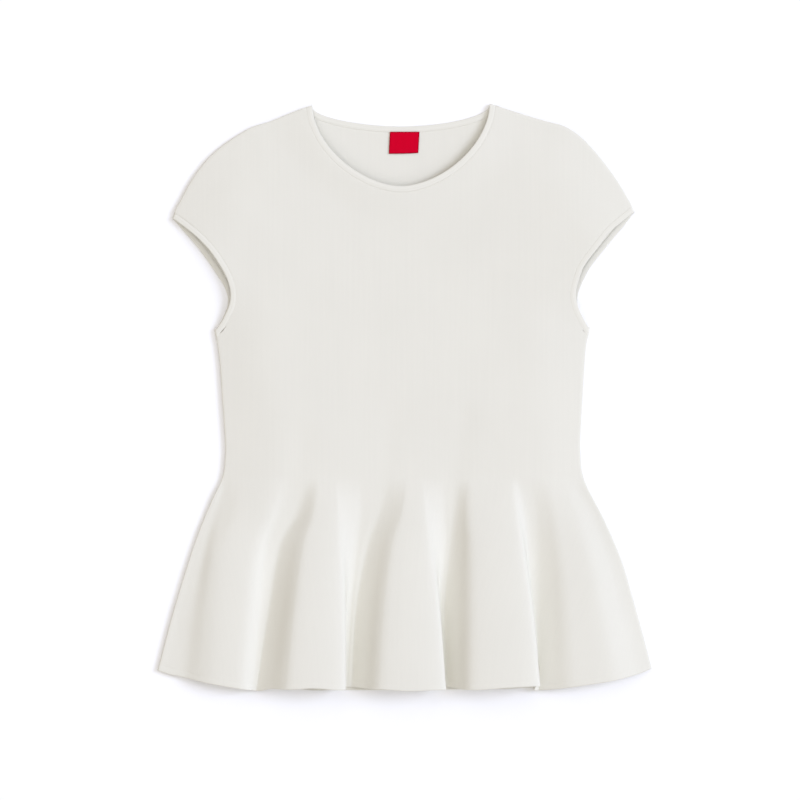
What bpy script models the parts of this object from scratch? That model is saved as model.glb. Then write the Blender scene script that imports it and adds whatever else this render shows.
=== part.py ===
"""Fluted knit peplum top laid flat: front over back, linked bands, neck label.

Lengths in the tables are millimetres. X runs to the photo's right, Y towards the
neck and Z up from the surface that the top lies on.
"""

import math
from typing import Callable, NamedTuple, Sequence

import bmesh
import bpy
from mathutils import Matrix, Vector

MM = 0.001

# Cloth
CLOTH = 1.8
BAND_CLOTH = 2.0
SEAM_GAP = 0.4
BACK_Z = CLOTH / 2
FRONT_Z = 3.1

# Body
WAIST_Y = -380.0
BODY_LOFT = 5.0
LOFT_REACH = 62.0
NECK_LIFT = 1.6
NECK_LIFT_REACH = 40.0

# Bands
NECK_BAND = 6.5
ARM_BAND = 6.0
FOLD_IN = 2.3
FOLD_RADIUS = 1.3
BAND_RISE = 0.5

# Grid counts
SHOULDER_STEPS = 6
NECK_STEPS = 20
SIDE_STEPS = 5
ARM_STEPS = 9
FOLD_STEPS = 5
SIDE_FADE = 5


class Side(NamedTuple):
    """The outline of one side of the top, each row a point from the first place named to the second."""

    hem_to_underarm: tuple
    front_armhole: tuple  # underarm to shoulder tip
    back_armhole: tuple
    shoulder: tuple  # shoulder tip to neck


LEFT = Side(
    hem_to_underarm=(
        (-249.8, -576.8),
        (-233.3, -514.6),
        (-212.1, -447.3),
        (-196.2, -407.2),
        (-184.0, -381.0),
        (-180.9, -359.6),
        (-180.9, -342.2),
        (-183.8, -301.4),
        (-186.7, -260.6),
        (-191.0, -230.8),
    ),
    front_armhole=(
        (-191.0, -230.8),
        (-182.7, -218.5),
        (-176.6, -204.4),
        (-175.2, -193.0),
        (-177.5, -181.6),
        (-182.7, -170.1),
        (-193.3, -153.5),
        (-204.7, -140.3),
        (-218.7, -128.0),
        (-234.7, -116.3),
    ),
    back_armhole=(
        (-191.0, -230.8),
        (-184.0, -219.0),
        (-179.0, -207.0),
        (-178.2, -197.0),
        (-181.5, -186.5),
        (-187.5, -176.5),
        (-195.0, -164.9),
        (-204.7, -151.3),
        (-214.3, -139.4),
        (-234.7, -116.3),
    ),
    shoulder=(
        (-234.7, -116.3),
        (-234.1, -111.7),
        (-226.1, -97.6),
        (-215.6, -78.3),
        (-199.8, -57.2),
        (-182.3, -41.4),
        (-166.5, -30.9),
        (-152.4, -23.0),
        (-134.8, -17.7),
        (-106.8, -6.3),
        (-91.8, -0.9),
    ),
)
RIGHT = Side(
    hem_to_underarm=(
        (253.5, -574.8),
        (246.1, -546.2),
        (234.9, -505.4),
        (222.7, -464.6),
        (205.3, -423.8),
        (184.9, -383.0),
        (180.8, -352.4),
        (181.9, -321.8),
        (185.9, -255.5),
        (189.9, -229.0),
    ),
    front_armhole=(
        (189.9, -229.0),
        (182.5, -215.8),
        (177.8, -204.5),
        (176.2, -193.5),
        (178.6, -181.5),
        (185.0, -164.5),
        (201.2, -142.8),
        (211.1, -130.4),
        (222.5, -120.5),
        (236.1, -109.5),
    ),
    back_armhole=(
        (189.9, -229.0),
        (183.5, -217.0),
        (178.6, -205.5),
        (178.6, -194.0),
        (182.9, -182.1),
        (190.5, -167.4),
        (201.0, -153.5),
        (215.3, -136.0),
        (226.4, -122.9),
        (236.1, -109.5),
    ),
    shoulder=(
        (236.1, -109.5),
        (235.2, -106.4),
        (229.1, -95.9),
        (218.6, -78.3),
        (204.5, -59.0),
        (190.4, -42.3),
        (178.2, -30.9),
        (164.1, -22.4),
        (146.6, -17.7),
        (120.2, -9.8),
        (88.2, 0.7),
    ),
)


class Neck(NamedTuple):
    """The free edge of the neck band as half of a superellipse."""

    depth: float
    power: float


NECK_MIDDLE = -1.8
FRONT_NECK = Neck(depth=84.0, power=1.75)
BACK_NECK = Neck(depth=22.7, power=1.8)

# How far down the peplum the flute edges below are given: waist, four levels, hem
LEVELS = (0.0, 0.163, 0.312, 0.623, 1.0)
ROWS = (0.0, 0.07, 0.15, 0.24, 0.35, 0.48, 0.62, 0.77, 0.9, 1.0)


class Flute(NamedTuple):
    """One flute at each of LEVELS, its edges seen from above and how far out its sides run, and its hem."""

    left: tuple
    right: tuple
    left_run: tuple
    right_run: tuple
    height: float
    left_y: float
    middle_y: float
    right_y: float


FLUTES = (
    Flute(
        left=(-87, -92.5, -103.2, -112.9, -121.7),
        right=(-65, -62.9, -62.2, -59.2, -58.7),
        left_run=(12, 16, 21, 23, 27),
        right_run=(22, 21, 16, 6, 1),
        height=21.5,
        left_y=-594.6,
        middle_y=-593.2,
        right_y=-595.0,
    ),
    Flute(
        left=(2, -3.5, -13.5, -22.7, -28.1),
        right=(22, 25.4, 28.9, 37.0, 43.1),
        left_run=(18, 20, 21, 24, 23.5),
        right_run=(20, 18, 15, 2, -4),
        height=21.5,
        left_y=-594.6,
        middle_y=-596.0,
        right_y=-595.0,
    ),
    Flute(
        left=(68, 66.0, 66.9, 65.9, 65.3),
        right=(110, 115.5, 121.0, 131.0, 138.4),
        left_run=(14, 15, 18, 23, 20),
        right_run=(12, 12, 9, 3, 0),
        height=21.5,
        left_y=-594.9,
        middle_y=-593.0,
        right_y=-591.5,
    ),
)
TROUGH_HEM_Y = -593.8
FLOOR_Z = 3.3
FOOT_RUN = 4.5


class Ripple(NamedTuple):
    """A fold line of a side panel: its share across at waist and hem, its rise and the hem there."""

    waist: float
    hem: float
    rise: float
    hem_y: float


# From the left side seam to the first flute
LEFT_RIPPLES = (
    Ripple(0.028, 0.127, 0.8, -581.0),
    Ripple(0.073, 0.28, 2.5, -584.0),
    Ripple(0.16, 0.43, 8.5, -587.5),
    Ripple(0.305, 0.58, 12.0, -590.5),
    Ripple(0.552, 0.79, 12.6, -594.0),
    Ripple(0.682, 0.89, 10.0, -595.8),
    Ripple(0.783, 0.955, 3.0, -596.8),
    Ripple(0.905, 0.985, 0.6, -597.5),
)
# From the last flute to the right side seam
RIGHT_RIPPLES = (
    Ripple(0.13, 0.01, 0.3, -597.0),
    Ripple(0.25, 0.13, 5.0, -595.7),
    Ripple(0.36, 0.26, 9.8, -593.6),
    Ripple(0.47, 0.4, 11.0, -591.1),
    Ripple(0.66, 0.66, 10.2, -586.4),
    Ripple(0.86, 0.88, 5.0, -580.2),
)


# The back panel's low folds: their rise at the hem under the flutes and under the side panels
BACK_FLUTE_RISE = 8.5
BACK_SIDE_RISE = 5.0
SWELL_INSETS = (0.22, 0.14)
LEFT_SWELL = (0.32, 0.77)
RIGHT_SWELL = (0.32, 0.86)
BACK_HEM = (
    (-249.8, -576.8),
    (-203.0, -587.0),
    (-121.0, -595.5),
    (0.0, -597.0),
    (130.0, -594.5),
    (187.0, -590.5),
    (253.5, -574.8),
)

LABEL_SIZE = (30.0, 20.6, 0.7)
LABEL_MIDDLE = (1.5, -40.3)
LABEL_TILT = -1.0

KNIT_COLOR = (0.80, 0.79, 0.75)
BAND_COLOR = (0.79, 0.78, 0.74)
LABEL_COLOR = (0.60, 0.003, 0.03)


def ease(share: float) -> float:
    """Smooth step from 0 to 1."""
    share = min(max(share, 0.0), 1.0)
    return share * share * (3 - 2 * share)


def spline(points: Sequence, at: float) -> Vector:
    """The point at a place along a Catmull-Rom curve, in steps of one per given point."""
    last = len(points) - 1
    i = min(max(int(at), 0), last - 1)
    t = at - i
    b, c = Vector(points[i]), Vector(points[i + 1])
    a = Vector(points[i - 1]) if i else b * 2 - c
    d = Vector(points[i + 2]) if i + 2 <= last else c * 2 - b
    square, cube = 2 * a - 5 * b + 4 * c - d, 3 * b - a - 3 * c + d
    return 0.5 * (2 * b + (c - a) * t + square * t**2 + cube * t**3)


def even(path: Sequence[Vector], steps: int) -> list[Vector]:
    """The path cut into this many steps of equal length."""
    lengths = [0.0]
    for a, b in zip(path, path[1:]):
        lengths.append(lengths[-1] + (b - a).length)
    cut = []
    i = 0
    for k in range(steps + 1):
        want = lengths[-1] * k / steps
        while i < len(path) - 2 and lengths[i + 1] < want:
            i += 1
        share = (want - lengths[i]) / max(lengths[i + 1] - lengths[i], 1e-9)
        cut.append(path[i].lerp(path[i + 1], share))
    return cut


def smooth(points: Sequence, steps_each: int = 8) -> list[Vector]:
    """A fine polyline through the points of a table."""
    count = (len(points) - 1) * steps_each
    return [spline(points, k / steps_each) for k in range(count + 1)]


def x_at(path: Sequence[Vector], y: float) -> float:
    """Where a path that runs up or down crosses this height."""
    for a, b in zip(path, path[1:]):
        if min(a.y, b.y) <= y <= max(a.y, b.y):
            return a.x + (b.x - a.x) * (y - a.y) / (b.y - a.y)
    return min(path, key=lambda p: abs(p.y - y)).x


def distance_to(path: Sequence[Vector], x: float, y: float) -> float:
    """The distance in plan from a point to a polyline."""
    point = Vector((x, y))
    best = 1e9
    for a, b in zip(path, path[1:]):
        run = b - a
        share = min(max((point - a).dot(run) / max(run.length_squared, 1e-9), 0.0), 1.0)
        best = min(best, (point - a - run * share).length)
    return best


SIDES = {side: smooth(table.hem_to_underarm) for side, table in (("left", LEFT), ("right", RIGHT))}
SHOULDERS = {side: smooth(table.shoulder) for side, table in (("left", LEFT), ("right", RIGHT))}


def neck_path(neck: Neck) -> list[Vector]:
    """The free edge of the neck from the left fold to the right one."""
    left, right = LEFT.shoulder[-1], RIGHT.shoulder[-1]
    path = []
    for k in range(161):
        angle = math.pi * k / 160
        across = math.copysign(abs(math.cos(angle)) ** (2 / neck.power), -math.cos(angle))
        half = NECK_MIDDLE - left[0] if across < 0 else right[0] - NECK_MIDDLE
        top = left[1] + (right[1] - left[1]) * (across + 1) / 2 - FOLD_IN
        drop = (neck.depth + top) * math.sin(angle) ** (2 / neck.power)
        path.append(Vector((NECK_MIDDLE + half * across, top - drop)))
    return path


def armhole_path(table: Sequence) -> list[Vector]:
    """The free edge of an armhole from the underarm fold to the shoulder fold."""
    path = smooth(table)
    for end, step in ((0, 1), (-1, -1)):
        inward = (path[end + 6 * step] - path[end]).normalized()
        path[end] = path[end] + inward * FOLD_IN
    keep = [path[0]]
    for point in path[1:-1]:
        if min((point - path[0]).length, (point - path[-1]).length) > FOLD_IN:
            keep.append(point)
    return keep + [path[-1]]


def seam_of(free: Sequence[Vector], width: float, turn: int, starts: Vector, ends: Vector) -> list[Vector]:
    """The edge this far into the cloth from a free edge, running along the outline at both folds."""
    seam = []
    count = len(free)
    for i, point in enumerate(free):
        run = (free[min(i + 1, count - 1)] - free[max(i - 1, 0)]).normalized()
        into = Vector((-run.y, run.x)) * turn
        step = into * width
        for at_fold, along in ((free[0], starts), (free[-1], ends)):
            near = 1 - ease((point - at_fold).length / (2.6 * width))
            slant = along * (width / max(abs(run.cross(along)), 0.5))
            step = step.lerp(slant, near)
        seam.append(point + step)
    return seam


def leaving(path: Sequence[Vector], reach: float = 10.0) -> Vector:
    """The direction in which a path leaves its first point."""
    for point in path[1:]:
        if (point - path[0]).length >= reach:
            break
    return (point - path[0]).normalized()


def outward(before: Vector, free: Vector, seam: Vector) -> Vector:
    """The level direction square to a fold line, away from the point before it."""
    line = seam - free
    out = Vector((-line.y, line.x)).normalized()
    return out if out.dot((free - before).xy) > 0 else -out


def to_outline(seam: list[Vector], free: Sequence[Vector]) -> list[Vector]:
    """A panel's seam lengthened at both ends to the outline, past the rounded folds of the band."""
    first = seam[0] + outward(free[1], free[0], seam[0]) * FOLD_IN
    last = seam[-1] + outward(free[-2], free[-1], seam[-1]) * FOLD_IN
    return [first, *seam, last]


class Edge(NamedTuple):
    """A banded edge of one layer: the band's free edge, the band's seam and the panel's seam."""

    free: list
    band_seam: list
    panel_seam: list


def neck_edge(neck: Neck) -> Edge:
    free = even(neck_path(neck), NECK_STEPS)
    starts = leaving(SHOULDERS["left"][::-1])
    ends = leaving(SHOULDERS["right"][::-1])
    band, panel = (seam_of(free, width, -1, starts, ends) for width in (NECK_BAND, NECK_BAND + SEAM_GAP))
    return Edge(free, band, to_outline(panel, free))


def arm_edge(side: str, table: Sequence) -> Edge:
    free = even(armhole_path(table), ARM_STEPS)
    turn = -1 if side == "left" else 1
    starts = leaving(SIDES[side][::-1])
    ends = leaving(SHOULDERS[side], 16.0)
    band, panel = (seam_of(free, width, turn, starts, ends) for width in (ARM_BAND, ARM_BAND + SEAM_GAP))
    return Edge(free, band, to_outline(panel, free))


def cut_side(side: str, underarm: Vector) -> list[Vector]:
    """The side seam from the waist to the panel's underarm corner."""
    path = [Vector((x_at(SIDES[side], WAIST_Y), WAIST_Y))]
    path += [p for p in SIDES[side] if WAIST_Y + 1 < p.y < underarm.y - 3]
    return even(path + [underarm], SIDE_STEPS)


def cut_shoulder(side: str, tip: Vector, neck: Vector) -> list[Vector]:
    """The shoulder from the panel's armhole corner to its neck corner."""
    path = [p for p in SHOULDERS[side] if (p - tip).length > 4 and abs(p.x) < abs(tip.x) + 4]
    path = [p for p in path if abs(p.x) > abs(neck.x) + 3 and p.y > tip.y + 2]
    return even([tip, *path, neck], SHOULDER_STEPS)


def patch(left: list, right: list, bottom: list, top: list) -> list[list[Vector]]:
    """Rows of points from the bottom edge to the top one, between four edges.

    Each edge's departure from the straight line between its corners fades across the
    patch, and the sides' fade fast, so that no column crosses the neckline.
    """
    rows = []
    for j, (l, r) in enumerate(zip(left, right)):
        v = j / (len(left) - 1)
        off_left = l - left[0].lerp(left[-1], v)
        off_right = r - right[0].lerp(right[-1], v)
        row = []
        for i, t in enumerate(top):
            u = i / (len(top) - 1)
            off_top = t - top[0].lerp(top[-1], u)
            flat = bottom[i].lerp(top[0].lerp(top[-1], u), v)
            row.append(flat + off_top * v + off_left * (1 - u) ** SIDE_FADE + off_right * u**SIDE_FADE)
        rows.append(row)
    return rows


def body_rows(neck: Edge, arms: dict) -> list[list[Vector]]:
    """The plan of one layer from the waist up."""
    left = cut_side("left", arms["left"].panel_seam[0]) + arms["left"].panel_seam[1:]
    right = cut_side("right", arms["right"].panel_seam[0]) + arms["right"].panel_seam[1:]
    top = cut_shoulder("left", left[-1], neck.panel_seam[0]) + neck.panel_seam[1:-1]
    top += reversed(cut_shoulder("right", right[-1], neck.panel_seam[-1]))
    columns = len(top) - 1
    bottom = [left[0].lerp(right[0], i / columns) for i in range(columns + 1)]
    return patch(left, right, bottom, top)


FRONT_NECK_EDGE = neck_edge(FRONT_NECK)
BACK_NECK_EDGE = neck_edge(BACK_NECK)
FRONT_ARMS = {"left": arm_edge("left", LEFT.front_armhole), "right": arm_edge("right", RIGHT.front_armhole)}
BACK_ARMS = {"left": arm_edge("left", LEFT.back_armhole), "right": arm_edge("right", RIGHT.back_armhole)}


def front_height(x: float, y: float) -> float:
    """How high the middle of the front cloth lies over the surface, above the waist."""
    edge = min(distance_to(path, x, y) for path in (*SIDES.values(), *SHOULDERS.values()))
    loft = ease(0.5 + edge / LOFT_REACH / 2) * 2 - 1
    height = BODY_LOFT * loft
    neck = distance_to(FRONT_NECK_EDGE.free, x, y)
    height += NECK_LIFT * loft * (1 - ease(neck / NECK_LIFT_REACH))
    for flute in FLUTES:
        for valley in (flute.left[0] - 10, flute.right[0] + 12):
            sunk = ease((y - WAIST_Y) / -50 + 1) * math.exp(-(((x - valley) / 11) ** 2))
            height -= 1.6 * sunk
    return FRONT_Z + height


def at_level(values: Sequence[float], share: float) -> float:
    """A value given at each of LEVELS, read smoothly at this share of the way down."""
    i = max(k for k in range(len(LEVELS) - 1) if LEVELS[k] <= share + 1e-9)
    t = (share - LEVELS[i]) / (LEVELS[i + 1] - LEVELS[i])

    def slope(k: int) -> float:
        if k in (0, len(LEVELS) - 1):
            k0, k1 = (0, 1) if k == 0 else (k - 1, k)
            return (values[k1] - values[k0]) / (LEVELS[k1] - LEVELS[k0])
        return (values[k + 1] - values[k - 1]) / (LEVELS[k + 1] - LEVELS[k - 1])

    run = LEVELS[i + 1] - LEVELS[i]
    leave, arrive = slope(i) * run, slope(i + 1) * run
    bend = leave * (t**3 - 2 * t**2 + t) + arrive * (t**3 - t**2)
    return values[i] + (values[i + 1] - values[i]) * (3 * t**2 - 2 * t**3) + bend


class Level(NamedTuple):
    """What the peplum's two layers share at one level between waist and hem."""

    share: float
    left: float
    right: float
    rise: float

    @classmethod
    def at(cls, share: float) -> "Level":
        sides = []
        for side, table in (("left", LEFT), ("right", RIGHT)):
            y = WAIST_Y + share * (table.hem_to_underarm[0][1] - WAIST_Y)
            sides.append(x_at(SIDES[side], y))
        return cls(
            share,
            *sides,
            rise=1 - (1 - share) ** 2.2,
        )

    def edges(self, flute: Flute) -> tuple[float, float]:
        """The flute's edges as seen from above."""
        return at_level(flute.left, self.share), at_level(flute.right, self.share)

    def feet(self, flute: Flute) -> tuple[float, float]:
        """How far inside its edges the flute meets the floor: less than nothing where it flares out."""
        left, right = (FOOT_RUN - at_level(run, self.share) for run in (flute.left_run, flute.right_run))
        return left, right

    def floors(self, flute: Flute) -> tuple[float, float]:
        """Where the cloth beside the flute reaches the floor on its left and right."""
        (left, right), feet = self.edges(flute), self.feet(flute)
        return left + feet[0] - FOOT_RUN, right - feet[1] + FOOT_RUN


def flute_keys(level: Level, flute: Flute, left_floor_y: float, right_floor_y: float) -> list[tuple]:
    """The fold lines of one flute from its left foot over the crest to its right foot."""
    left, right = level.edges(flute)
    rise = flute.height * level.rise
    wings = []
    for edge, foot, turn, y, floor_y in (
        (left, level.feet(flute)[0], 1, flute.left_y, left_floor_y),
        (right, level.feet(flute)[1], -1, flute.right_y, right_floor_y),
    ):
        wings.append(
            [
                (edge + turn * (foot - FOOT_RUN), floor_y, 0.0),
                (edge + turn * foot, floor_y, 0.12 * rise),
                (edge + turn * 0.5 * foot, y, 0.44 * rise),
                (edge, y, 0.80 * rise),
                (edge + turn * 0.15 * (right - left), y, 0.95 * rise),
            ]
        )
    return [*wings[0], ((left + right) / 2, flute.middle_y, rise), *wings[1][::-1]]


def ripple_keys(level: Level, ripples: Sequence[Ripple], start: float, end: float) -> list[tuple]:
    """The fold lines of a side panel between two places across."""
    keys = []
    for fold in ripples:
        across = fold.waist + (fold.hem - fold.waist) * level.share
        keys.append((start + (end - start) * across, fold.hem_y, fold.rise * level.rise))
    return keys


def front_keys(level: Level) -> list[tuple]:
    """The fold lines of the front at one level: x, y at the hem and the rise over the floor."""
    first = min(level.edges(FLUTES[0])[0], level.floors(FLUTES[0])[0])
    last = max(level.edges(FLUTES[-1])[1], level.floors(FLUTES[-1])[1])
    floors = (LEFT_RIPPLES[-1].hem_y, *(TROUGH_HEM_Y for _ in FLUTES[1:]), RIGHT_RIPPLES[0].hem_y)
    keys = [(level.left, LEFT.hem_to_underarm[0][1], 0.0)]
    keys += ripple_keys(level, LEFT_RIPPLES, level.left, first)
    for n, flute in enumerate(FLUTES):
        if n:
            middle = (level.floors(FLUTES[n - 1])[1] + level.floors(flute)[0]) / 2
            keys.append((middle, TROUGH_HEM_Y, 0.0))
        keys += flute_keys(level, flute, floors[n], floors[n + 1])
    keys += ripple_keys(level, RIGHT_RIPPLES, last, level.right)
    return [*keys, (level.right, RIGHT.hem_to_underarm[0][1], 0.0)]


def front_peplum_rows() -> list[list[Vector]]:
    rows = []
    for share in ROWS:
        settle = ease(share / 0.4)
        points = []
        for x, hem_y, rise in front_keys(Level.at(share)):
            y = WAIST_Y + share * (hem_y - WAIST_Y)
            held = ease(min(distance_to(path, x, y) for path in SIDES.values()) / 25)
            waist_z = front_height(x, WAIST_Y)
            floor_z = waist_z + (FLOOR_Z - waist_z) * settle
            points.append((x, y, FRONT_Z + (floor_z + rise - FRONT_Z) * held))
        rows.append([spline(points, k / 2) for k in range(2 * len(points) - 1)])
    return rows


def back_swells(level: Level) -> list[tuple[float, float, float]]:
    """The low folds of the back at one level: where each starts and ends across, and its rise."""
    swells = []
    for flute in FLUTES:
        left, right = level.edges(flute)
        insets = [share * (right - left) for share in SWELL_INSETS]
        swells.append((left + insets[0], right - insets[1], BACK_FLUTE_RISE))
    for (low, high), start, end in (
        (LEFT_SWELL, level.left, level.edges(FLUTES[0])[0]),
        (RIGHT_SWELL, level.edges(FLUTES[-1])[1], level.right),
    ):
        swells.append((start + (end - start) * low, start + (end - start) * high, BACK_SIDE_RISE))
    return swells


def back_peplum_rows(columns: int) -> list[list[Vector]]:
    hem = smooth(BACK_HEM)
    rows = []
    for share in ROWS[1:]:
        level = Level.at(share)
        row = []
        for i in range(columns + 1):
            across = i / columns
            x = level.left + (level.right - level.left) * across
            hem_x = hem[0].x + (hem[-1].x - hem[0].x) * across
            hem_y = min(hem, key=lambda p: abs(p.x - hem_x)).y
            z = BACK_Z
            for start, end, rise in back_swells(level):
                if start < x < end:
                    z += rise * level.rise * math.sin(math.pi * (x - start) / (end - start)) ** 2
            row.append(Vector((x, WAIST_Y + share * (hem_y - WAIST_Y), z)))
        rows.append(row)
    return rows


def knit_material(name: str, color: tuple, roughness: float) -> bpy.types.Material:
    material = bpy.data.materials.new(name)
    material.use_nodes = True
    shader = material.node_tree.nodes["Principled BSDF"]
    shader.inputs["Base Color"].default_value = (*color, 1.0)
    shader.inputs["Roughness"].default_value = roughness
    shader.inputs["Metallic"].default_value = 0.0
    return material


def new_part(
    collection: bpy.types.Collection, name: str, build: Callable, material: bpy.types.Material
) -> bpy.types.Object:
    """An object from a function that fills a bmesh in millimetres."""
    bm = bmesh.new()
    build(bm)
    bmesh.ops.recalc_face_normals(bm, faces=bm.faces)
    bmesh.ops.scale(bm, vec=(MM, MM, MM), verts=bm.verts)
    mesh = bpy.data.meshes.new(name)
    bm.to_mesh(mesh)
    bm.free()
    mesh.materials.append(material)
    mesh.shade_smooth()
    mesh.set_sharp_from_angle(angle=math.radians(40))
    obj = bpy.data.objects.new(name, mesh)
    collection.objects.link(obj)
    return obj


def thicken(obj: bpy.types.Object) -> bpy.types.Object:
    wall = obj.modifiers.new("wall", "SOLIDIFY")
    wall.thickness = CLOTH * MM
    wall.offset = 0.0
    return obj


def fill_grid(bm: bmesh.types.BMesh, rows: list) -> list:
    """Quads between rows of points, returned as rows of vertices."""
    verts = [[bm.verts.new(p) for p in row] for row in rows]
    for low, high in zip(verts, verts[1:]):
        for i in range(len(low) - 1):
            bm.faces.new((low[i], low[i + 1], high[i + 1], high[i]))
    return verts


def zip_rows(bm: bmesh.types.BMesh, fine: list, coarse: list) -> None:
    """Triangles between two rows of vertices that run the same way with different counts."""
    i = j = 0
    while i < len(fine) - 1 or j < len(coarse) - 1:
        next_fine = fine[i + 1].co.x if i < len(fine) - 1 else 1e9
        next_coarse = coarse[j + 1].co.x if j < len(coarse) - 1 else 1e9
        if next_fine <= next_coarse:
            bm.faces.new((fine[i], fine[i + 1], coarse[j]))
            i += 1
        else:
            bm.faces.new((fine[i], coarse[j + 1], coarse[j]))
            j += 1


def build_front(bm: bmesh.types.BMesh) -> None:
    plan = body_rows(FRONT_NECK_EDGE, FRONT_ARMS)[1:]
    body = fill_grid(bm, [[Vector((p.x, p.y, front_height(p.x, p.y))) for p in row] for row in plan])
    peplum = fill_grid(bm, front_peplum_rows()[::-1])
    zip_rows(bm, peplum[-1], body[0])


def build_back(bm: bmesh.types.BMesh) -> None:
    plan = body_rows(BACK_NECK_EDGE, BACK_ARMS)
    columns = len(plan[0]) - 1
    body = [[Vector((p.x, p.y, BACK_Z)) for p in row] for row in plan]
    fill_grid(bm, back_peplum_rows(columns)[::-1] + body)


def band_sections(front: Edge, back: Edge) -> list[tuple[Vector, Vector, Vector]]:
    """Sections round a banded opening: free edge, seam and the direction of the outer face."""
    up = Vector((0, 0, 1))
    back_z = BAND_CLOTH / 2
    sections = []
    tops = []
    for free, seam in zip(front.free, front.band_seam):
        points = [Vector((p.x, p.y, front_height(p.x, p.y) + BAND_RISE)) for p in (free, seam)]
        tops.append(points)
        sections.append((*points, up))
    bottoms = [[Vector((p.x, p.y, back_z)) for p in pair] for pair in zip(back.free, back.band_seam)]

    def fold(top: list, bottom: list, before: Vector) -> list:
        out = outward(before.xy, top[0].xy, top[1].xy).to_3d()
        turned = []
        for k in range(1, FOLD_STEPS + 1):
            angle = math.pi * k / (FOLD_STEPS + 1)
            pair = []
            for high, low in zip(top, bottom):
                middle = (high + low) / 2
                pair.append(middle + out * FOLD_RADIUS * math.sin(angle) + (high - low) / 2 * math.cos(angle))
            turned.append((*pair, (out * math.sin(angle) + up * math.cos(angle)).normalized()))
        return turned

    sections += fold(tops[-1], bottoms[-1], tops[-2][0])
    sections += [(*pair, -up) for pair in bottoms[::-1]]
    sections += fold(tops[0], bottoms[0], tops[1][0])[::-1]
    return sections


def build_band(front: Edge, back: Edge) -> Callable:
    """A closed band: along the front edge, over at the fold, back along the back edge, over again."""

    def build(bm: bmesh.types.BMesh) -> None:
        rings = []
        half = BAND_CLOTH / 2
        for free, seam, out in band_sections(front, back):
            middle = (free + seam) / 2
            corners = (
                free + out * half * 0.7,
                middle + out * half,
                seam + out * half * 0.8,
                seam - out * half * 0.8,
                middle - out * half,
                free - out * half * 0.7,
            )
            rings.append([bm.verts.new(c) for c in corners])
        for n, ring in enumerate(rings):
            following = rings[(n + 1) % len(rings)]
            for i in range(len(ring)):
                j = (i + 1) % len(ring)
                bm.faces.new((ring[i], ring[j], following[j], following[i]))

    return build


def build_label(bm: bmesh.types.BMesh) -> None:
    place = Matrix.Translation((*LABEL_MIDDLE, CLOTH + SEAM_GAP + LABEL_SIZE[2] / 2))
    turn = Matrix.Rotation(math.radians(LABEL_TILT), 4, "Z")
    bmesh.ops.create_cube(bm, size=1.0, matrix=place @ turn @ Matrix.Diagonal((*LABEL_SIZE, 1)))


def centre_on_base(objects: Sequence[bpy.types.Object]) -> None:
    """Moves the meshes so that the middle of the base of their common box is the origin."""
    bpy.context.view_layer.update()
    graph = bpy.context.evaluated_depsgraph_get()
    points = []
    for obj in objects:
        evaluated = obj.evaluated_get(graph)
        points += [v.co.copy() for v in evaluated.to_mesh().vertices]
        evaluated.to_mesh_clear()
    low = Vector([min(p[i] for p in points) for i in range(3)])
    high = Vector([max(p[i] for p in points) for i in range(3)])
    shift = Vector((-(low.x + high.x) / 2, -(low.y + high.y) / 2, -low.z))
    for obj in objects:
        obj.data.transform(Matrix.Translation(shift))


def main() -> None:
    for obj in list(bpy.data.objects):
        bpy.data.objects.remove(obj)
    top = bpy.data.collections.new("peplum top")
    bpy.context.scene.collection.children.link(top)
    knit = knit_material("off-white knit", KNIT_COLOR, 0.9)
    band = knit_material("off-white linked band", BAND_COLOR, 0.9)
    label = knit_material("red woven label", LABEL_COLOR, 0.7)
    parts = [
        thicken(new_part(top, "front_panel", build_front, knit)),
        thicken(new_part(top, "back_panel", build_back, knit)),
        new_part(top, "neck_band", build_band(FRONT_NECK_EDGE, BACK_NECK_EDGE), band),
        new_part(top, "neck_label", build_label, label),
    ]
    for side in FRONT_ARMS:
        build = build_band(FRONT_ARMS[side], BACK_ARMS[side])
        parts.append(new_part(top, f"armhole_band_{side}", build, band))
    centre_on_base(parts)


if __name__ == "__main__":
    main()
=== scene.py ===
"""A fluted knit peplum top laid flat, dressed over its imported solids.

Lengths in the tables are millimetres in the cut's own frame: X to the picture's right,
Y towards the neck from the high shoulder points, Z up from the surface that it lies on.
"""

import logging
import math
from dataclasses import dataclass, field
from enum import Enum
from functools import lru_cache, partial

import bpy
import numpy as np
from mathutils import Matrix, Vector


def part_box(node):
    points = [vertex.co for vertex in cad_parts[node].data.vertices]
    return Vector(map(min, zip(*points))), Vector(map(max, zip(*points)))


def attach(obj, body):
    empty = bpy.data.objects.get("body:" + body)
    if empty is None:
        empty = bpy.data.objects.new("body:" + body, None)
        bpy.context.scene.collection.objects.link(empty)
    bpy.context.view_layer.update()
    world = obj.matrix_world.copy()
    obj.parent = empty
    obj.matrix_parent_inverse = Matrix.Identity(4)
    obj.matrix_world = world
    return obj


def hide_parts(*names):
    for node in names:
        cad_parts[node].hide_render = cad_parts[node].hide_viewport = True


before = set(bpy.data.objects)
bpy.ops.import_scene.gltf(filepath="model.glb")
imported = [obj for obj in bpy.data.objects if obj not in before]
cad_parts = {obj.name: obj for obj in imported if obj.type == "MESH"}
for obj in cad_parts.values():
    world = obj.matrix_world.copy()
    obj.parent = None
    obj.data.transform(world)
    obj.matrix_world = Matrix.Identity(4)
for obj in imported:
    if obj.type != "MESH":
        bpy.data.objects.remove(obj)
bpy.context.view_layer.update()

MM = 0.001
PATTERN_MAP = "cut"
log = logging.getLogger("peplum top")

Tree = bpy.types.NodeTree
Socket = bpy.types.NodeSocket
Material = bpy.types.Material
Piece = bpy.types.Object


class Hand(Enum):
    """A side of the top as the picture shows it."""

    LEFT = "left"
    RIGHT = "right"


class Layer(Enum):
    """The upper or the lower cloth of the flat top."""

    FRONT = "front"
    BACK = "back"


# Curves


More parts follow.
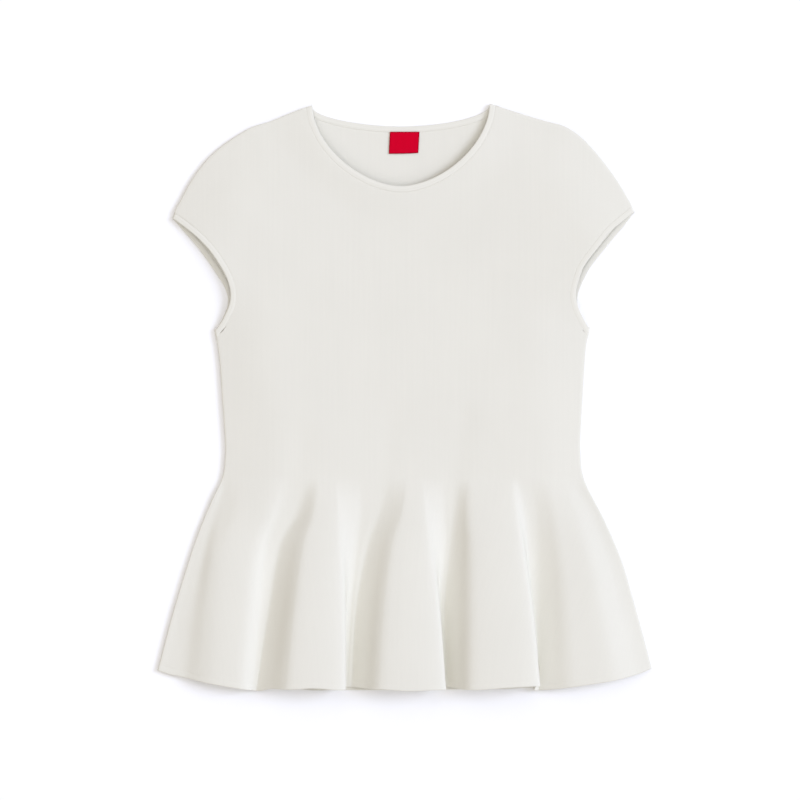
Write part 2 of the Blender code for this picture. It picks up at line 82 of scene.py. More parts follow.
def ease(share):
    """Smooth step from 0 to 1.

    Args:
        share: a number or an array.

    Returns:
        The eased number or array.
    """
    share = np.clip(share, 0.0, 1.0)
    return share * share * (3 - 2 * share)


def curve_at(points: np.ndarray, at: np.ndarray) -> np.ndarray:
    """Reads a Catmull-Rom curve.

    Args:
        points: the rows that the curve passes through.
        at: places along it, in steps of one per row.

    Returns:
        One point for each place.
    """
    ends = np.vstack([2 * points[0] - points[1], points, 2 * points[-1] - points[-2]])
    i = np.clip(at.astype(int), 0, len(points) - 2)
    t = (at - i)[:, None]
    a, b, c, d = (ends[i + k] for k in range(4))
    square, cube = 2 * a - 5 * b + 4 * c - d, 3 * b - a - 3 * c + d
    return 0.5 * (2 * b + (c - a) * t + square * t**2 + cube * t**3)


def smooth(table, steps_each: int = 8) -> np.ndarray:
    """A fine polyline through the points of a table."""
    points = np.array(table, float)
    return curve_at(points, np.arange((len(points) - 1) * steps_each + 1) / steps_each)


def lengths_along(path: np.ndarray) -> np.ndarray:
    """The length of a path up to each of its points."""
    return np.concatenate([[0.0], np.cumsum(np.linalg.norm(np.diff(path, axis=0), axis=1))])


def cut_at(path: np.ndarray, shares: np.ndarray) -> np.ndarray:
    """The points at these shares of a path's length."""
    lengths = lengths_along(path)
    wanted = shares * lengths[-1]
    return np.column_stack([np.interp(wanted, lengths, path[:, k]) for k in range(path.shape[1])])


def even(path: np.ndarray, steps: int) -> np.ndarray:
    """The path cut into this many steps of equal length."""
    return cut_at(path, np.linspace(0, 1, steps + 1))


def distance_to(path: np.ndarray, points: np.ndarray) -> np.ndarray:
    """The distances in plan from points to a polyline.

    Args:
        path: rows of x, y.
        points: an array whose last axis starts with x, y.

    Returns:
        An array of the points' shape without its last axis.
    """
    flat = points[..., :2].reshape(-1, 2)
    run = np.diff(path, axis=0)
    square = np.maximum((run**2).sum(axis=1), 1e-9)
    found = []
    for chunk in np.array_split(flat, len(flat) // 6000 + 1):
        off = chunk[:, None] - path[:-1]
        share = np.clip((off * run).sum(axis=2) / square, 0, 1)
        found.append(np.sqrt(((off - share[..., None] * run) ** 2).sum(axis=2)).min(axis=1))
    return np.concatenate(found).reshape(points.shape[:-1])


def unit(vector: np.ndarray) -> np.ndarray:
    """The vectors at length one."""
    return vector / np.maximum(np.linalg.norm(vector, axis=-1, keepdims=True), 1e-9)


def crossing(path: np.ndarray, y: float) -> float:
    """Where a path that falls or rises crosses this height."""
    order = np.argsort(path[:, 1])
    return float(np.interp(y, path[order, 1], path[order, 0]))


# Cut


@dataclass(frozen=True)
class SideTable:
    """The outline of one side, each row a point from the first place named to the second."""

    hem_to_underarm: tuple
    front_armhole: tuple
    back_armhole: tuple
    shoulder: tuple


@dataclass(frozen=True)
class NeckTable:
    """The free edge of the neck as half of a superellipse."""

    depth: float
    power: float


OUTLINE = {
    Hand.LEFT: SideTable(
        hem_to_underarm=(
            (-249.8, -576.8), (-233.3, -514.6), (-212.1, -447.3), (-196.2, -407.2), (-184.0, -381.0),
            (-180.9, -359.6), (-180.9, -342.2), (-183.8, -301.4), (-186.7, -260.6), (-191.0, -230.8),
        ),
        front_armhole=(
            (-191.0, -230.8), (-182.7, -218.5), (-176.6, -204.4), (-175.2, -193.0), (-177.5, -181.6),
            (-182.7, -170.1), (-193.3, -153.5), (-204.7, -140.3), (-218.7, -128.0), (-234.7, -116.3),
        ),
        back_armhole=(
            (-191.0, -230.8), (-184.0, -219.0), (-179.0, -207.0), (-178.2, -197.0), (-181.5, -186.5),
            (-187.5, -176.5), (-195.0, -164.9), (-204.7, -151.3), (-214.3, -139.4), (-234.7, -116.3),
        ),
        shoulder=(
            (-234.7, -116.3), (-234.1, -111.7), (-226.1, -97.6), (-215.6, -78.3), (-199.8, -57.2),
            (-182.3, -41.4), (-166.5, -30.9), (-152.4, -23.0), (-134.8, -17.7), (-106.8, -6.3),
            (-91.8, -0.9),
        ),
    ),
    Hand.RIGHT: SideTable(
        hem_to_underarm=(
            (253.5, -574.8), (246.1, -546.2), (234.9, -505.4), (222.7, -464.6), (205.3, -423.8),
            (184.9, -383.0), (180.8, -352.4), (181.9, -321.8), (185.9, -255.5), (189.9, -229.0),
        ),
        front_armhole=(
            (189.9, -229.0), (182.5, -215.8), (177.8, -204.5), (176.2, -193.5), (178.6, -181.5),
            (185.0, -164.5), (201.2, -142.8), (211.1, -130.4), (222.5, -120.5), (236.1, -109.5),
        ),
        back_armhole=(
            (189.9, -229.0), (183.5, -217.0), (178.6, -205.5), (178.6, -194.0), (182.9, -182.1),
            (190.5, -167.4), (201.0, -153.5), (215.3, -136.0), (226.4, -122.9), (236.1, -109.5),
        ),
        shoulder=(
            (236.1, -109.5), (235.2, -106.4), (229.1, -95.9), (218.6, -78.3), (204.5, -59.0),
            (190.4, -42.3), (178.2, -30.9), (164.1, -22.4), (146.6, -17.7), (120.2, -9.8), (88.2, 0.7),
        ),
    ),
}
NECK = {Layer.FRONT: NeckTable(depth=84.0, power=1.75), Layer.BACK: NeckTable(depth=22.7, power=1.8)}
NECK_MIDDLE = -1.8
WAIST_Y = -380.0


@dataclass(frozen=True)
class Edge:
    """A banded edge of one layer: the band's free edge, the band's seam and the panel's seam."""

    free: np.ndarray
    band_seam: np.ndarray
    panel_seam: np.ndarray


@dataclass(frozen=True)
class Cut:
    """The plan of the top: its outline, its openings and the seams beside their bands."""

    neck_band: float = 6.5
    arm_band: float = 6.0
    seam_lap: float = 0.5
    fold_in: float = 2.3
    fold_points: int = 6
    fold_reach: float = 2.6
    least_slant: float = 0.5
    shoulder_reach: float = 16.0

    @lru_cache(maxsize=None)
    def side(self, hand: Hand) -> np.ndarray:
        """The side outline from the hem to the underarm."""
        return smooth(OUTLINE[hand].hem_to_underarm)

    @lru_cache(maxsize=None)
    def shoulder(self, hand: Hand) -> np.ndarray:
        """The shoulder outline from the tip to the neck."""
        return smooth(OUTLINE[hand].shoulder)

    def from_folds(self, points: np.ndarray) -> np.ndarray:
        """How far these places lie in plan from the folded edges, where front and back meet."""
        folds = (path(hand) for hand in Hand for path in (self.side, self.shoulder))
        return np.minimum.reduce([distance_to(fold, points) for fold in folds])

    def neck_path(self, layer: Layer, steps: int = 240) -> np.ndarray:
        """The free edge of the neck from the left fold to the right one."""
        table = NECK[layer]
        left, right = (np.array(OUTLINE[hand].shoulder[-1]) for hand in Hand)
        angle = np.pi * np.arange(steps + 1) / steps
        across = -np.sign(np.cos(angle)) * np.abs(np.cos(angle)) ** (2 / table.power)
        half = np.where(across < 0, NECK_MIDDLE - left[0], right[0] - NECK_MIDDLE)
        top = left[1] + (right[1] - left[1]) * (across + 1) / 2 - self.fold_in
        drop = (table.depth + top) * np.maximum(np.sin(angle), 0) ** (2 / table.power)
        return np.column_stack([NECK_MIDDLE + half * across, top - drop])

    def armhole_path(self, hand: Hand, layer: Layer) -> np.ndarray:
        """The free edge of an armhole from the underarm fold to the shoulder fold."""
        table = OUTLINE[hand]
        path = smooth(table.front_armhole if layer is Layer.FRONT else table.back_armhole)
        for end, step in ((0, 1), (-1, -1)):
            inward = unit(path[end + self.fold_points * step] - path[end])
            path[end] = path[end] + inward * self.fold_in
        inner = path[1:-1]
        far = [np.linalg.norm(inner - path[end], axis=1) > self.fold_in for end in (0, -1)]
        return np.vstack([path[:1], inner[far[0] & far[1]], path[-1:]])

    def seam_of(self, free: np.ndarray, width: float, turn: int, starts, ends) -> np.ndarray:
        """The edge this far into the cloth from a free edge, along the outline at both folds."""
        run = unit(np.vstack([free[1:2] - free[:1], free[2:] - free[:-2], free[-1:] - free[-2:-1]]))
        step = np.column_stack([-run[:, 1], run[:, 0]]) * turn * width
        for fold, along in ((free[0], starts), (free[-1], ends)):
            near = 1 - ease(np.linalg.norm(free - fold, axis=1) / (self.fold_reach * width))
            square = np.abs(run[:, 0] * along[1] - run[:, 1] * along[0])
            slant = along * (width / np.maximum(square, self.least_slant))[:, None]
            step = step + (slant - step) * near[:, None]
        return free + step

    def leaving(self, path: np.ndarray, reach: float = 10.0) -> np.ndarray:
        """The direction in which a path leaves its first point."""
        far = np.linalg.norm(path - path[0], axis=1) >= reach
        return unit(path[int(np.argmax(far))] - path[0])

    def to_outline(self, seam: np.ndarray, free: np.ndarray) -> np.ndarray:
        """A panel's seam lengthened at both ends to the outline, past the bands' folds."""
        first = seam[0] + outward(free[1], free[0], seam[0]) * self.fold_in
        last = seam[-1] + outward(free[-2], free[-1], seam[-1]) * self.fold_in
        return np.vstack([first, seam, last])

    @lru_cache(maxsize=None)
    def neck_edge(self, layer: Layer, steps: int) -> Edge:
        """The neck's three lines on one layer."""
        free = even(self.neck_path(layer), steps)
        starts, ends = (self.leaving(self.shoulder(hand)[::-1]) for hand in Hand)
        widths = (self.neck_band, self.neck_band - self.seam_lap)
        band, panel = (self.seam_of(free, width, -1, starts, ends) for width in widths)
        return Edge(free, band, self.to_outline(panel, free))

    @lru_cache(maxsize=None)
    def arm_edge(self, hand: Hand, layer: Layer, steps: int) -> Edge:
        """An armhole's three lines on one layer."""
        free = even(self.armhole_path(hand, layer), steps)
        turn = -1 if hand is Hand.LEFT else 1
        starts = self.leaving(self.side(hand)[::-1])
        ends = self.leaving(self.shoulder(hand), self.shoulder_reach)
        widths = (self.arm_band, self.arm_band - self.seam_lap)
        band, panel = (self.seam_of(free, width, turn, starts, ends) for width in widths)
        return Edge(free, band, self.to_outline(panel, free))


def outward(before: np.ndarray, free: np.ndarray, seam: np.ndarray) -> np.ndarray:
    """The level direction square to a fold line, away from the point before it."""
    line = seam - free
    out = unit(np.array([-line[1], line[0]]))
    return out if out @ (free - before) > 0 else -out


CUT = Cut()


# Form


@dataclass(frozen=True)
class Flute:
    """A flute: its edges from above and how far out its sides run, at each of LEVELS, and its hem."""

    left: tuple
    right: tuple
    left_run: tuple
    right_run: tuple
    height: float
    left_y: float
    middle_y: float
    right_y: float


@dataclass(frozen=True)
class Ripple:
    """A fold line of a side panel: its share across at waist and hem, its rise and the hem there."""

    waist: float
    hem: float
    rise: float
    hem_y: float


@dataclass(frozen=True)
class Crease:
    """A soft trough or ridge pressed by hand: its ends, half width and lift, negative in a trough."""

    start: tuple
    end: tuple
    width: float
    lift: float


LEVELS = (0.0, 0.163, 0.312, 0.623, 1.0)
RISE_POWER = 2.2
FOOT_RUN = 4.5
FLUTES = (
    Flute(
        left=(-87, -92.5, -103.2, -112.9, -121.7),
        right=(-65, -62.9, -62.2, -59.2, -58.7),
        left_run=(12, 16, 21, 23, 27),
        right_run=(22, 21, 16, 6, 1),
        height=21.5, left_y=-594.6, middle_y=-593.2, right_y=-595.0,
    ),
    Flute(
        left=(2, -3.5, -13.5, -22.7, -28.1),
        right=(22, 25.4, 28.9, 37.0, 43.1),
        left_run=(18, 20, 21, 24, 23.5),
        right_run=(20, 18, 15, 2, -4),
        height=21.5, left_y=-594.6, middle_y=-596.0, right_y=-595.0,
    ),
    Flute(
        left=(68, 66.0, 66.9, 65.9, 65.3),
        right=(110, 115.5, 121.0, 131.0, 138.4),
        left_run=(14, 15, 18, 23, 20),
        right_run=(12, 12, 9, 3, 0),
        height=21.5, left_y=-594.9, middle_y=-593.0, right_y=-591.5,
    ),
)
LEFT_RIPPLES = (
    Ripple(0.028, 0.127, 0.8, -581.0),
    Ripple(0.073, 0.28, 2.2, -584.0),
    Ripple(0.16, 0.43, 7.3, -587.5),
    Ripple(0.305, 0.58, 10.4, -590.5),
    Ripple(0.552, 0.79, 11.2, -594.0),
    Ripple(0.682, 0.89, 9.2, -595.8),
    Ripple(0.783, 0.955, 3.0, -596.8),
    Ripple(0.905, 0.985, 0.6, -597.5),
)
RIGHT_RIPPLES = (
    Ripple(0.13, 0.01, 0.3, -597.0),
    Ripple(0.25, 0.13, 5.0, -595.7),
    Ripple(0.36, 0.26, 9.8, -593.6),
    Ripple(0.47, 0.4, 11.0, -591.1),
    Ripple(0.66, 0.66, 10.2, -586.4),
    Ripple(0.86, 0.88, 5.0, -580.2),
)
BACK_HEM = (
    (-249.8, -576.8), (-203.0, -587.0), (-121.0, -595.5), (0.0, -597.0),
    (130.0, -594.5), (187.0, -590.5), (253.5, -574.8),
)
FRONT_CREASES = (
    Crease((-100, -340), (-112, -400), 13, -0.45),
    Crease((-40, -330), (-36, -396), 15, -0.25),
    Crease((-14, -322), (-20, -398), 13, -0.5),
    Crease((40, -336), (44, -392), 14, -0.3),
    Crease((62, -318), (52, -402), 12, -0.6),
    Crease((126, -338), (136, -402), 15, -0.4),
    Crease((-128, -290), (-70, -346), 30, 0.4),
    Crease((10, -280), (92, -322), 34, 0.35),
    Crease((-150, -214), (-96, -196), 20, -0.3),
    Crease((148, -212), (92, -188), 22, -0.3),
    Crease((-60, -126), (34, -150), 36, -0.4),
    Crease((-176, -96), (-140, -128), 16, 0.3),
    Crease((182, -92), (150, -124), 15, 0.25),
)
BACK_CREASES = (
    Crease((-110, -70), (-40, -96), 26, 0.22),
    Crease((52, -60), (120, -92), 22, 0.18),
    Crease((-140, -250), (-60, -310), 30, 0.25),
    Crease((30, -230), (130, -286), 28, 0.2),
)


def level_value(values: tuple, share: float) -> float:
    """A value given at each of LEVELS, read smoothly at this share of the way down."""
    levels = np.array(LEVELS)
    slopes = np.gradient(np.array(values, float)) / np.gradient(levels)
    i = int(np.clip(np.searchsorted(levels, share, side="right") - 1, 0, len(levels) - 2))
    run = levels[i + 1] - levels[i]
    t = (share - levels[i]) / run
    bend = slopes[i] * run * (t**3 - 2 * t**2 + t) + slopes[i + 1] * run * (t**3 - t**2)
    return values[i] + (values[i + 1] - values[i]) * (3 * t**2 - 2 * t**3) + bend


@dataclass(frozen=True)
class Level:
    """What the peplum's two layers share at one level between waist and hem."""

    share: float
    left: float
    right: float
    rise: float

    @classmethod
    def at(cls, share: float) -> "Level":
        """The level at this share of the way from the waist to the hem."""
        sides = []
        for hand in Hand:
            y = WAIST_Y + share * (OUTLINE[hand].hem_to_underarm[0][1] - WAIST_Y)
            sides.append(crossing(CUT.side(hand), y))
        return cls(share, *sides, rise=1 - (1 - share) ** RISE_POWER)

    def edges(self, flute: Flute) -> tuple:
        """The flute's edges as seen from above."""
        return level_value(flute.left, self.share), level_value(flute.right, self.share)

    def feet(self, flute: Flute) -> tuple:
        """How far inside its edges the flute meets the floor."""
        runs = (level_value(run, self.share) for run in (flute.left_run, flute.right_run))
        return tuple(FOOT_RUN - run for run in runs)

    def floors(self, flute: Flute) -> tuple:
        """Where the cloth beside the flute reaches the floor on its left and right."""
        (left, right), feet = self.edges(flute), self.feet(flute)
        return left + feet[0] - FOOT_RUN, right - feet[1] + FOOT_RUN


def pressed(points: np.ndarray, creases: tuple) -> np.ndarray:
    """How far the creases lift or sink each point."""
    total = np.zeros(points.shape[:-1])
    for crease in creases:
        path = np.array([crease.start, crease.end], float)
        total += crease.lift * np.exp(-((distance_to(path, points) / crease.width) ** 2))
    return total


@dataclass(frozen=True)
class FrontForm:
    """How high the middle of the front cloth lies, and how full its flutes are at their fold lines."""

    floor_z: float = 3.3
    edge_z: float = 3.1
    loft: float = 5.0
    loft_reach: float = 62.0
    neck_lift: float = 1.6
    neck_reach: float = 40.0
    trough_y: float = -593.8
    held: float = 25.0
    held_by: float = 0.2
    floor_by: float = 0.4
    crease_z: float = 3.6
    crease_fade: float = 2.5
    foot_rise: float = 0.12
    wall_rise: float = 0.44
    edge_rise: float = 0.80
    brow_rise: float = 0.95
    brow_in: float = 0.15

    def body(self, points: np.ndarray) -> np.ndarray:
        """The height above the waist at these places in plan."""
        loft = ease(0.5 + CUT.from_folds(points) / self.loft_reach / 2) * 2 - 1
        height = self.loft * loft
        neck = distance_to(CUT.neck_path(Layer.FRONT, 90), points)
        height = height + self.neck_lift * loft * (1 - ease(neck / self.neck_reach))
        return self.edge_z + height

    def creased(self, points: np.ndarray) -> np.ndarray:
        """How far the creases move these points of the cloth, fading out near the floor."""
        return pressed(points, FRONT_CREASES) * ease((points[..., 2] - self.crease_z) / self.crease_fade)

    def wing(self, edge: float, foot: float, turn: int, ys: tuple, rise: float, width: float) -> list:
        """The fold lines of one side of a flute.

        Args:
            edge: where its edge is seen from above.
            foot: how far inside the edge it meets the floor.
            turn: 1 for the left side, -1 for the right one.
            ys: the hem at the edge and at the floor.
            rise: the flute's height at this level.
            width: the flute's width at this level.

        Returns:
            The lines from the floor up: x, y at the hem and the rise over the floor.
        """
        y, floor_y = ys
        return [
            (edge + turn * (foot - FOOT_RUN), floor_y, 0.0),
            (edge + turn * foot, floor_y, self.foot_rise * rise),
            (edge + turn * foot / 2, y, self.wall_rise * rise),
            (edge, y, self.edge_rise * rise),
            (edge + turn * self.brow_in * width, y, self.brow_rise * rise),
        ]

    def flute_keys(self, level: Level, flute: Flute, left_y: float, right_y: float) -> list:
        """The fold lines of one flute from its left foot over the crest to its right foot."""
        left, right = level.edges(flute)
        feet = level.feet(flute)
        size = (flute.height * level.rise, right - left)
        left_wing = self.wing(left, feet[0], 1, (flute.left_y, left_y), *size)
        right_wing = self.wing(right, feet[1], -1, (flute.right_y, right_y), *size)
        return [*left_wing, ((left + right) / 2, flute.middle_y, size[0]), *right_wing[::-1]]

    def ripple_keys(self, level: Level, ripples: tuple, start: float, end: float) -> list:
        """The fold lines of one side panel, which lies between these places across."""
        keys = []
        for fold in ripples:
            across = fold.waist + (fold.hem - fold.waist) * level.share
            keys.append((start + (end - start) * across, fold.hem_y, fold.rise * level.rise))
        return keys

    def keys(self, level: Level) -> np.ndarray:
        """The fold lines across one level: x, y at the hem and the rise over the floor."""
        first = min(level.edges(FLUTES[0])[0], level.floors(FLUTES[0])[0])
        last = max(level.edges(FLUTES[-1])[1], level.floors(FLUTES[-1])[1])
        floors = (LEFT_RIPPLES[-1].hem_y, self.trough_y, self.trough_y, RIGHT_RIPPLES[0].hem_y)
        flutes = []
        for n, flute in enumerate(FLUTES):
            if n:
                middle = (level.floors(FLUTES[n - 1])[1] + level.floors(flute)[0]) / 2
                flutes.append((middle, self.trough_y, 0.0))
            flutes += self.flute_keys(level, flute, floors[n], floors[n + 1])
        left_hem, right_hem = (OUTLINE[hand].hem_to_underarm[0][1] for hand in Hand)
        left = self.ripple_keys(level, LEFT_RIPPLES, level.left, first)
        right = self.ripple_keys(level, RIGHT_RIPPLES, last, level.right)
        ends = (level.left, left_hem, 0.0), (level.right, right_hem, 0.0)
        return np.array([ends[0], *left, *flutes, *right, ends[1]])

    def peplum_row(self, share: float, at: np.ndarray) -> np.ndarray:
        """The points across one level of the peplum."""
        x, hem_y, rise = self.keys(Level.at(share)).T
        plan = np.column_stack([x, WAIST_Y + share * (hem_y - WAIST_Y)])
        side = np.minimum.reduce([distance_to(CUT.side(hand), plan) for hand in Hand])
        held = 1 - (1 - ease(side / self.held)) * ease(share / self.held_by)
        waist_z = self.body(np.column_stack([x, np.full(len(x), WAIST_Y)]))
        floor_z = waist_z + (self.floor_z - waist_z) * ease(share / self.floor_by)
        z = self.edge_z + (floor_z + rise - self.edge_z) * held
        return curve_at(np.column_stack([plan, z]), at)


@dataclass(frozen=True)
class BackForm:
    """How high the middle of the back cloth lies."""

    lying_z: float = 0.9
    flute_rise: float = 8.5
    side_rise: float = 5.0
    left_swell: tuple = (0.32, 0.77)
    right_swell: tuple = (0.32, 0.86)
    insets: tuple = (0.22, 0.14)

    def body(self, points: np.ndarray) -> np.ndarray:
        """The height above the waist at these places in plan."""
        return np.full(points.shape[:-1], self.lying_z)

    def creased(self, points: np.ndarray) -> np.ndarray:
        """How far the creases move these points of the cloth."""
        return pressed(points, BACK_CREASES)

    def swells(self, level: Level) -> list:
        """The low folds at one level: where each starts and ends across, and its rise."""
        found = []
        for flute in FLUTES:
            left, right = level.edges(flute)
            insets = [share * (right - left) for share in self.insets]
            found.append((left + insets[0], right - insets[1], self.flute_rise))
        for (low, high), start, end in (
            (self.left_swell, level.left, level.edges(FLUTES[0])[0]),
            (self.right_swell, level.edges(FLUTES[-1])[1], level.right),
        ):
            found.append((start + (end - start) * low, start + (end - start) * high, self.side_rise))
        return found

    def peplum_row(self, share: float, across: np.ndarray) -> np.ndarray:
        """The points across one level of the peplum."""
        level = Level.at(share)
        hem = smooth(BACK_HEM)
        x = level.left + (level.right - level.left) * across
        hem_x = hem[0, 0] + (hem[-1, 0] - hem[0, 0]) * across
        hem_y = np.interp(hem_x, hem[:, 0], hem[:, 1])
        z = np.full(len(x), self.lying_z)
        for start, end, rise in self.swells(level):
            inside = (x > start) & (x < end)
            bump = rise * level.rise * np.sin(np.pi * (x - start) / (end - start)) ** 2
            z = z + np.where(inside, bump, 0)
        return np.column_stack([x, WAIST_Y + share * (hem_y - WAIST_Y), z])


FRONT_FORM = FrontForm()
BACK_FORM = BackForm()


# Meshes


def linked(name: str, data: bpy.types.ID) -> Piece:
    """A new object that shows this data, linked to the scene."""
    obj = bpy.data.objects.new(name, data)
    bpy.context.scene.collection.objects.link(obj)
    return obj


def new_object(name: str, points: np.ndarray, faces: list, uvs: np.ndarray) -> Piece:
    """A smooth mesh object in the part's frame.

    Args:
        name: the object's name.
        points: places in millimetres in the cut's frame.
        faces: rows of point numbers, facing outward.
        uvs: a place in the cloth's own map, in metres, for each face corner.

    Returns:
        The object, linked to the scene.
    """
    mesh = bpy.data.meshes.new(name)
    mesh.from_pydata((points + SHIFT) * MM, [], faces)
    layer = mesh.uv_layers.new(name=PATTERN_MAP)
    layer.data.foreach_set("uv", np.asarray(uvs, np.float32).ravel())
    mesh.shade_smooth()
    mesh.update()
    return linked(name, mesh)


def part_shift() -> np.ndarray:
    """The step from the cut's frame to the part's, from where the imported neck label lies."""
    low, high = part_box("neck_label")
    middle = (np.array(low) + np.array(high)) / 2 / MM
    return np.array([middle[0] - NeckLabel.middle[0], middle[1] - NeckLabel.middle[1], 0.0])


@dataclass(frozen=True)
class Sheet:
    """A grid of points made into a closed cloth: rows upward, columns to the right."""

    middle: np.ndarray
    thickness: float
    rim: float = 0.9
    rim_share: float = 0.3

    def normals(self) -> np.ndarray:
        """The upward direction at each point."""
        across = np.gradient(self.middle, axis=1)
        along = np.gradient(self.middle, axis=0)
        return unit(np.cross(across, along))

    def margins(self) -> tuple:
        """How far each point is from the left, right, lower and upper edges, along the cloth."""
        across = np.linalg.norm(np.diff(self.middle, axis=1), axis=2)
        along = np.linalg.norm(np.diff(self.middle, axis=0), axis=2)
        left = np.pad(np.cumsum(across, axis=1), ((0, 0), (1, 0)))
        low = np.pad(np.cumsum(along, axis=0), ((1, 0), (0, 0)))
        return left, left[:, -1:] - left, low, low[-1:] - low

    def area(self) -> float:
        """The area of the middle surface, in square metres."""
        a = self.middle[:-1, :-1]
        first = np.cross(self.middle[:-1, 1:] - a, self.middle[1:, 1:] - a)
        second = np.cross(self.middle[1:, 1:] - a, self.middle[1:, :-1] - a)
        return float((np.linalg.norm(first, axis=2) + np.linalg.norm(second, axis=2)).sum() / 2 * MM**2)

    def build(self, name: str, uv: np.ndarray, extra: np.ndarray) -> Piece:
        """The closed cloth.

        Args:
            name: the object's name.
            uv: the place of each grid point in the cloth's own map, in metres.
            extra: what each grid point adds to the half thickness, in millimetres.

        Returns:
            The object.
        """
        rows, columns = self.middle.shape[:2]
        margin = np.minimum.reduce(self.margins())
        round_off = np.sqrt(1 - (1 - np.clip(margin / self.rim, 0, 1)) ** 2)
        half = (self.thickness / 2 + extra) * (self.rim_share + (1 - self.rim_share) * round_off)
        step = self.normals() * half[..., None]
        points = np.vstack([(self.middle + step).reshape(-1, 3), (self.middle - step).reshape(-1, 3)])
        number = np.arange(rows * columns).reshape(rows, columns)
        a, b = number[:-1, :-1], number[:-1, 1:]
        c, d = number[1:, 1:], number[1:, :-1]
        upper = np.stack([a, b, c, d], axis=-1).reshape(-1, 4)
        lower = upper[:, ::-1] + rows * columns
        ring = np.concatenate([number[0, :-1], number[:-1, -1], number[-1, :0:-1], number[:0:-1, 0]])
        after = np.roll(ring, -1)
        rim = np.stack([after, ring, ring + rows * columns, after + rows * columns], axis=-1)
        faces = np.vstack([upper, lower, rim])
        uvs = uv.reshape(-1, 2)[faces % (rows * columns)]
        return new_object(name, points, faces.tolist(), uvs.reshape(-1, 2))


def rim_shares(count: int, rims: tuple = (0.12, 0.26)) -> np.ndarray:
    """Steps across a patch of this many even intervals, with fine ones inside its two rims."""
    inner = np.arange(1, count)
    return np.concatenate([[0.0], rims, inner, [count - rims[1], count - rims[0], count]]) / count


# The body's grid: its steps, shares and powers, and the gaps in millimetres beside its seams
SIDE_STEPS = 44
ARM_STEPS = 46
NECK_STEPS = 160
TOP_RIM = (0.4, 0.15, 0.0)
SHOULDER_SHARE = 0.2
LEVEL_BY = 0.4
SIDE_FADE = 5
NECK_RISE = 3
WAIST_GAP = 1.0
SEAM_GAP = 3.0
TIP_GAP = 4.0
TIP_RISE = 2.0


def side_edge(hand: Hand, layer: Layer, start: np.ndarray, shares: np.ndarray) -> np.ndarray:
    """One side of a layer's plan, read at these shares from the waist to the shoulder tip."""
    seam = CUT.arm_edge(hand, layer, ARM_STEPS).panel_seam
    side = CUT.side(hand)
    kept = side[(side[:, 1] > WAIST_Y + WAIST_GAP) & (side[:, 1] < seam[0, 1] - SEAM_GAP)]
    lower = even(np.vstack([start, kept, seam[:1]]), SIDE_STEPS)
    return curve_rows(np.vstack([lower[:-1], seam]), shares)


def shoulder_edge(hand: Hand, tip: np.ndarray, neck: np.ndarray) -> np.ndarray:
    """The shoulder fold of a layer's plan, from its tip to the neck's seam."""
    path = CUT.shoulder(hand)
    across = np.abs(path[:, 0])
    past_tip = (np.linalg.norm(path - tip, axis=1) > TIP_GAP) & (across < abs(tip[0]) + TIP_GAP)
    before_neck = (across > abs(neck[0]) + SEAM_GAP) & (path[:, 1] > tip[1] + TIP_RISE)
    return np.vstack([tip, path[past_tip & before_neck], neck])


def top_edge(layer: Layer, shares: np.ndarray, tips: tuple) -> np.ndarray:
    """The upper edge of a layer's plan: left shoulder, neck seam and right shoulder."""
    neck = CUT.neck_edge(layer, NECK_STEPS).panel_seam
    left, right = (shoulder_edge(*ends) for ends in zip(Hand, tips, (neck[0], neck[-1])))
    first = int(np.searchsorted(shares, SHOULDER_SHARE))
    last = len(shares) - 1 - first
    span = shares[first + 1 : last]
    return np.vstack([
        cut_at(left, shares[: first + 1] / shares[first]),
        cut_at(neck[1:-1], (span - span[0]) / (span[-1] - span[0])),
        cut_at(right, (1 - shares[last:]) / (1 - shares[last])),
    ])


def body_plan(layer: Layer, bottom: np.ndarray, shares: np.ndarray) -> np.ndarray:
    """The plan of one layer from the waist up.

    Args:
        layer: front or back.
        bottom: the points along the waist.
        shares: each column's share across the shoulders and neck.

    Returns:
        Rows of points from the waist to the shoulders.
    """
    bottom = bottom[:, :2]
    steps = SIDE_STEPS + ARM_STEPS + 1
    v = np.concatenate([np.arange(steps), steps - np.array(TOP_RIM)]) / steps
    edges = [side_edge(hand, layer, start, v) for hand, start in zip(Hand, (bottom[0], bottom[-1]))]
    top = top_edge(layer, shares, (edges[0][-1], edges[1][-1]))
    u = shares[:, None]
    chord = top[0] + (top[-1] - top[0]) * u
    level = bottom[0] + (bottom[-1] - bottom[0]) * u
    rows = []
    for n, share in enumerate(v):
        left, right = (edge[n] - (edge[0] + (edge[-1] - edge[0]) * share) for edge in edges)
        base = bottom + (level - bottom) * ease(share / LEVEL_BY)
        flat = base + (chord - base) * share
        bent = (top - chord) * np.array([share**NECK_RISE, share])
        rows.append(flat + bent + left * (1 - u) ** SIDE_FADE + right * u**SIDE_FADE)
    return np.array(rows)


def curve_rows(path: np.ndarray, shares: np.ndarray) -> np.ndarray:
    """The points of a path read at shares of its count of points."""
    at = shares * (len(path) - 1)
    numbers = np.arange(len(path))
    return np.column_stack([np.interp(at, numbers, path[:, k]) for k in range(2)])


def pattern_map(middle: np.ndarray, peplum_rows: int) -> np.ndarray:
    """Each grid point's place in the flat cloth, in metres.

    Args:
        middle: the cloth's grid, in millimetres.
        peplum_rows: how many of its rows lie below the waist, where length runs over the folds.

    Returns:
        The places, with a column's lengths meeting those of the flat body at the waist.
    """
    across = np.linalg.norm(np.diff(middle, axis=1), axis=2)
    u = np.pad(np.cumsum(across, axis=1), ((0, 0), (1, 0)))
    centre = middle.shape[1] // 2
    u = u - u[:, centre : centre + 1] + middle[peplum_rows - 1, centre, 0]
    u[peplum_rows:] = middle[peplum_rows:, :, 0]
    return np.stack([u, middle[..., 1]], axis=-1) * MM


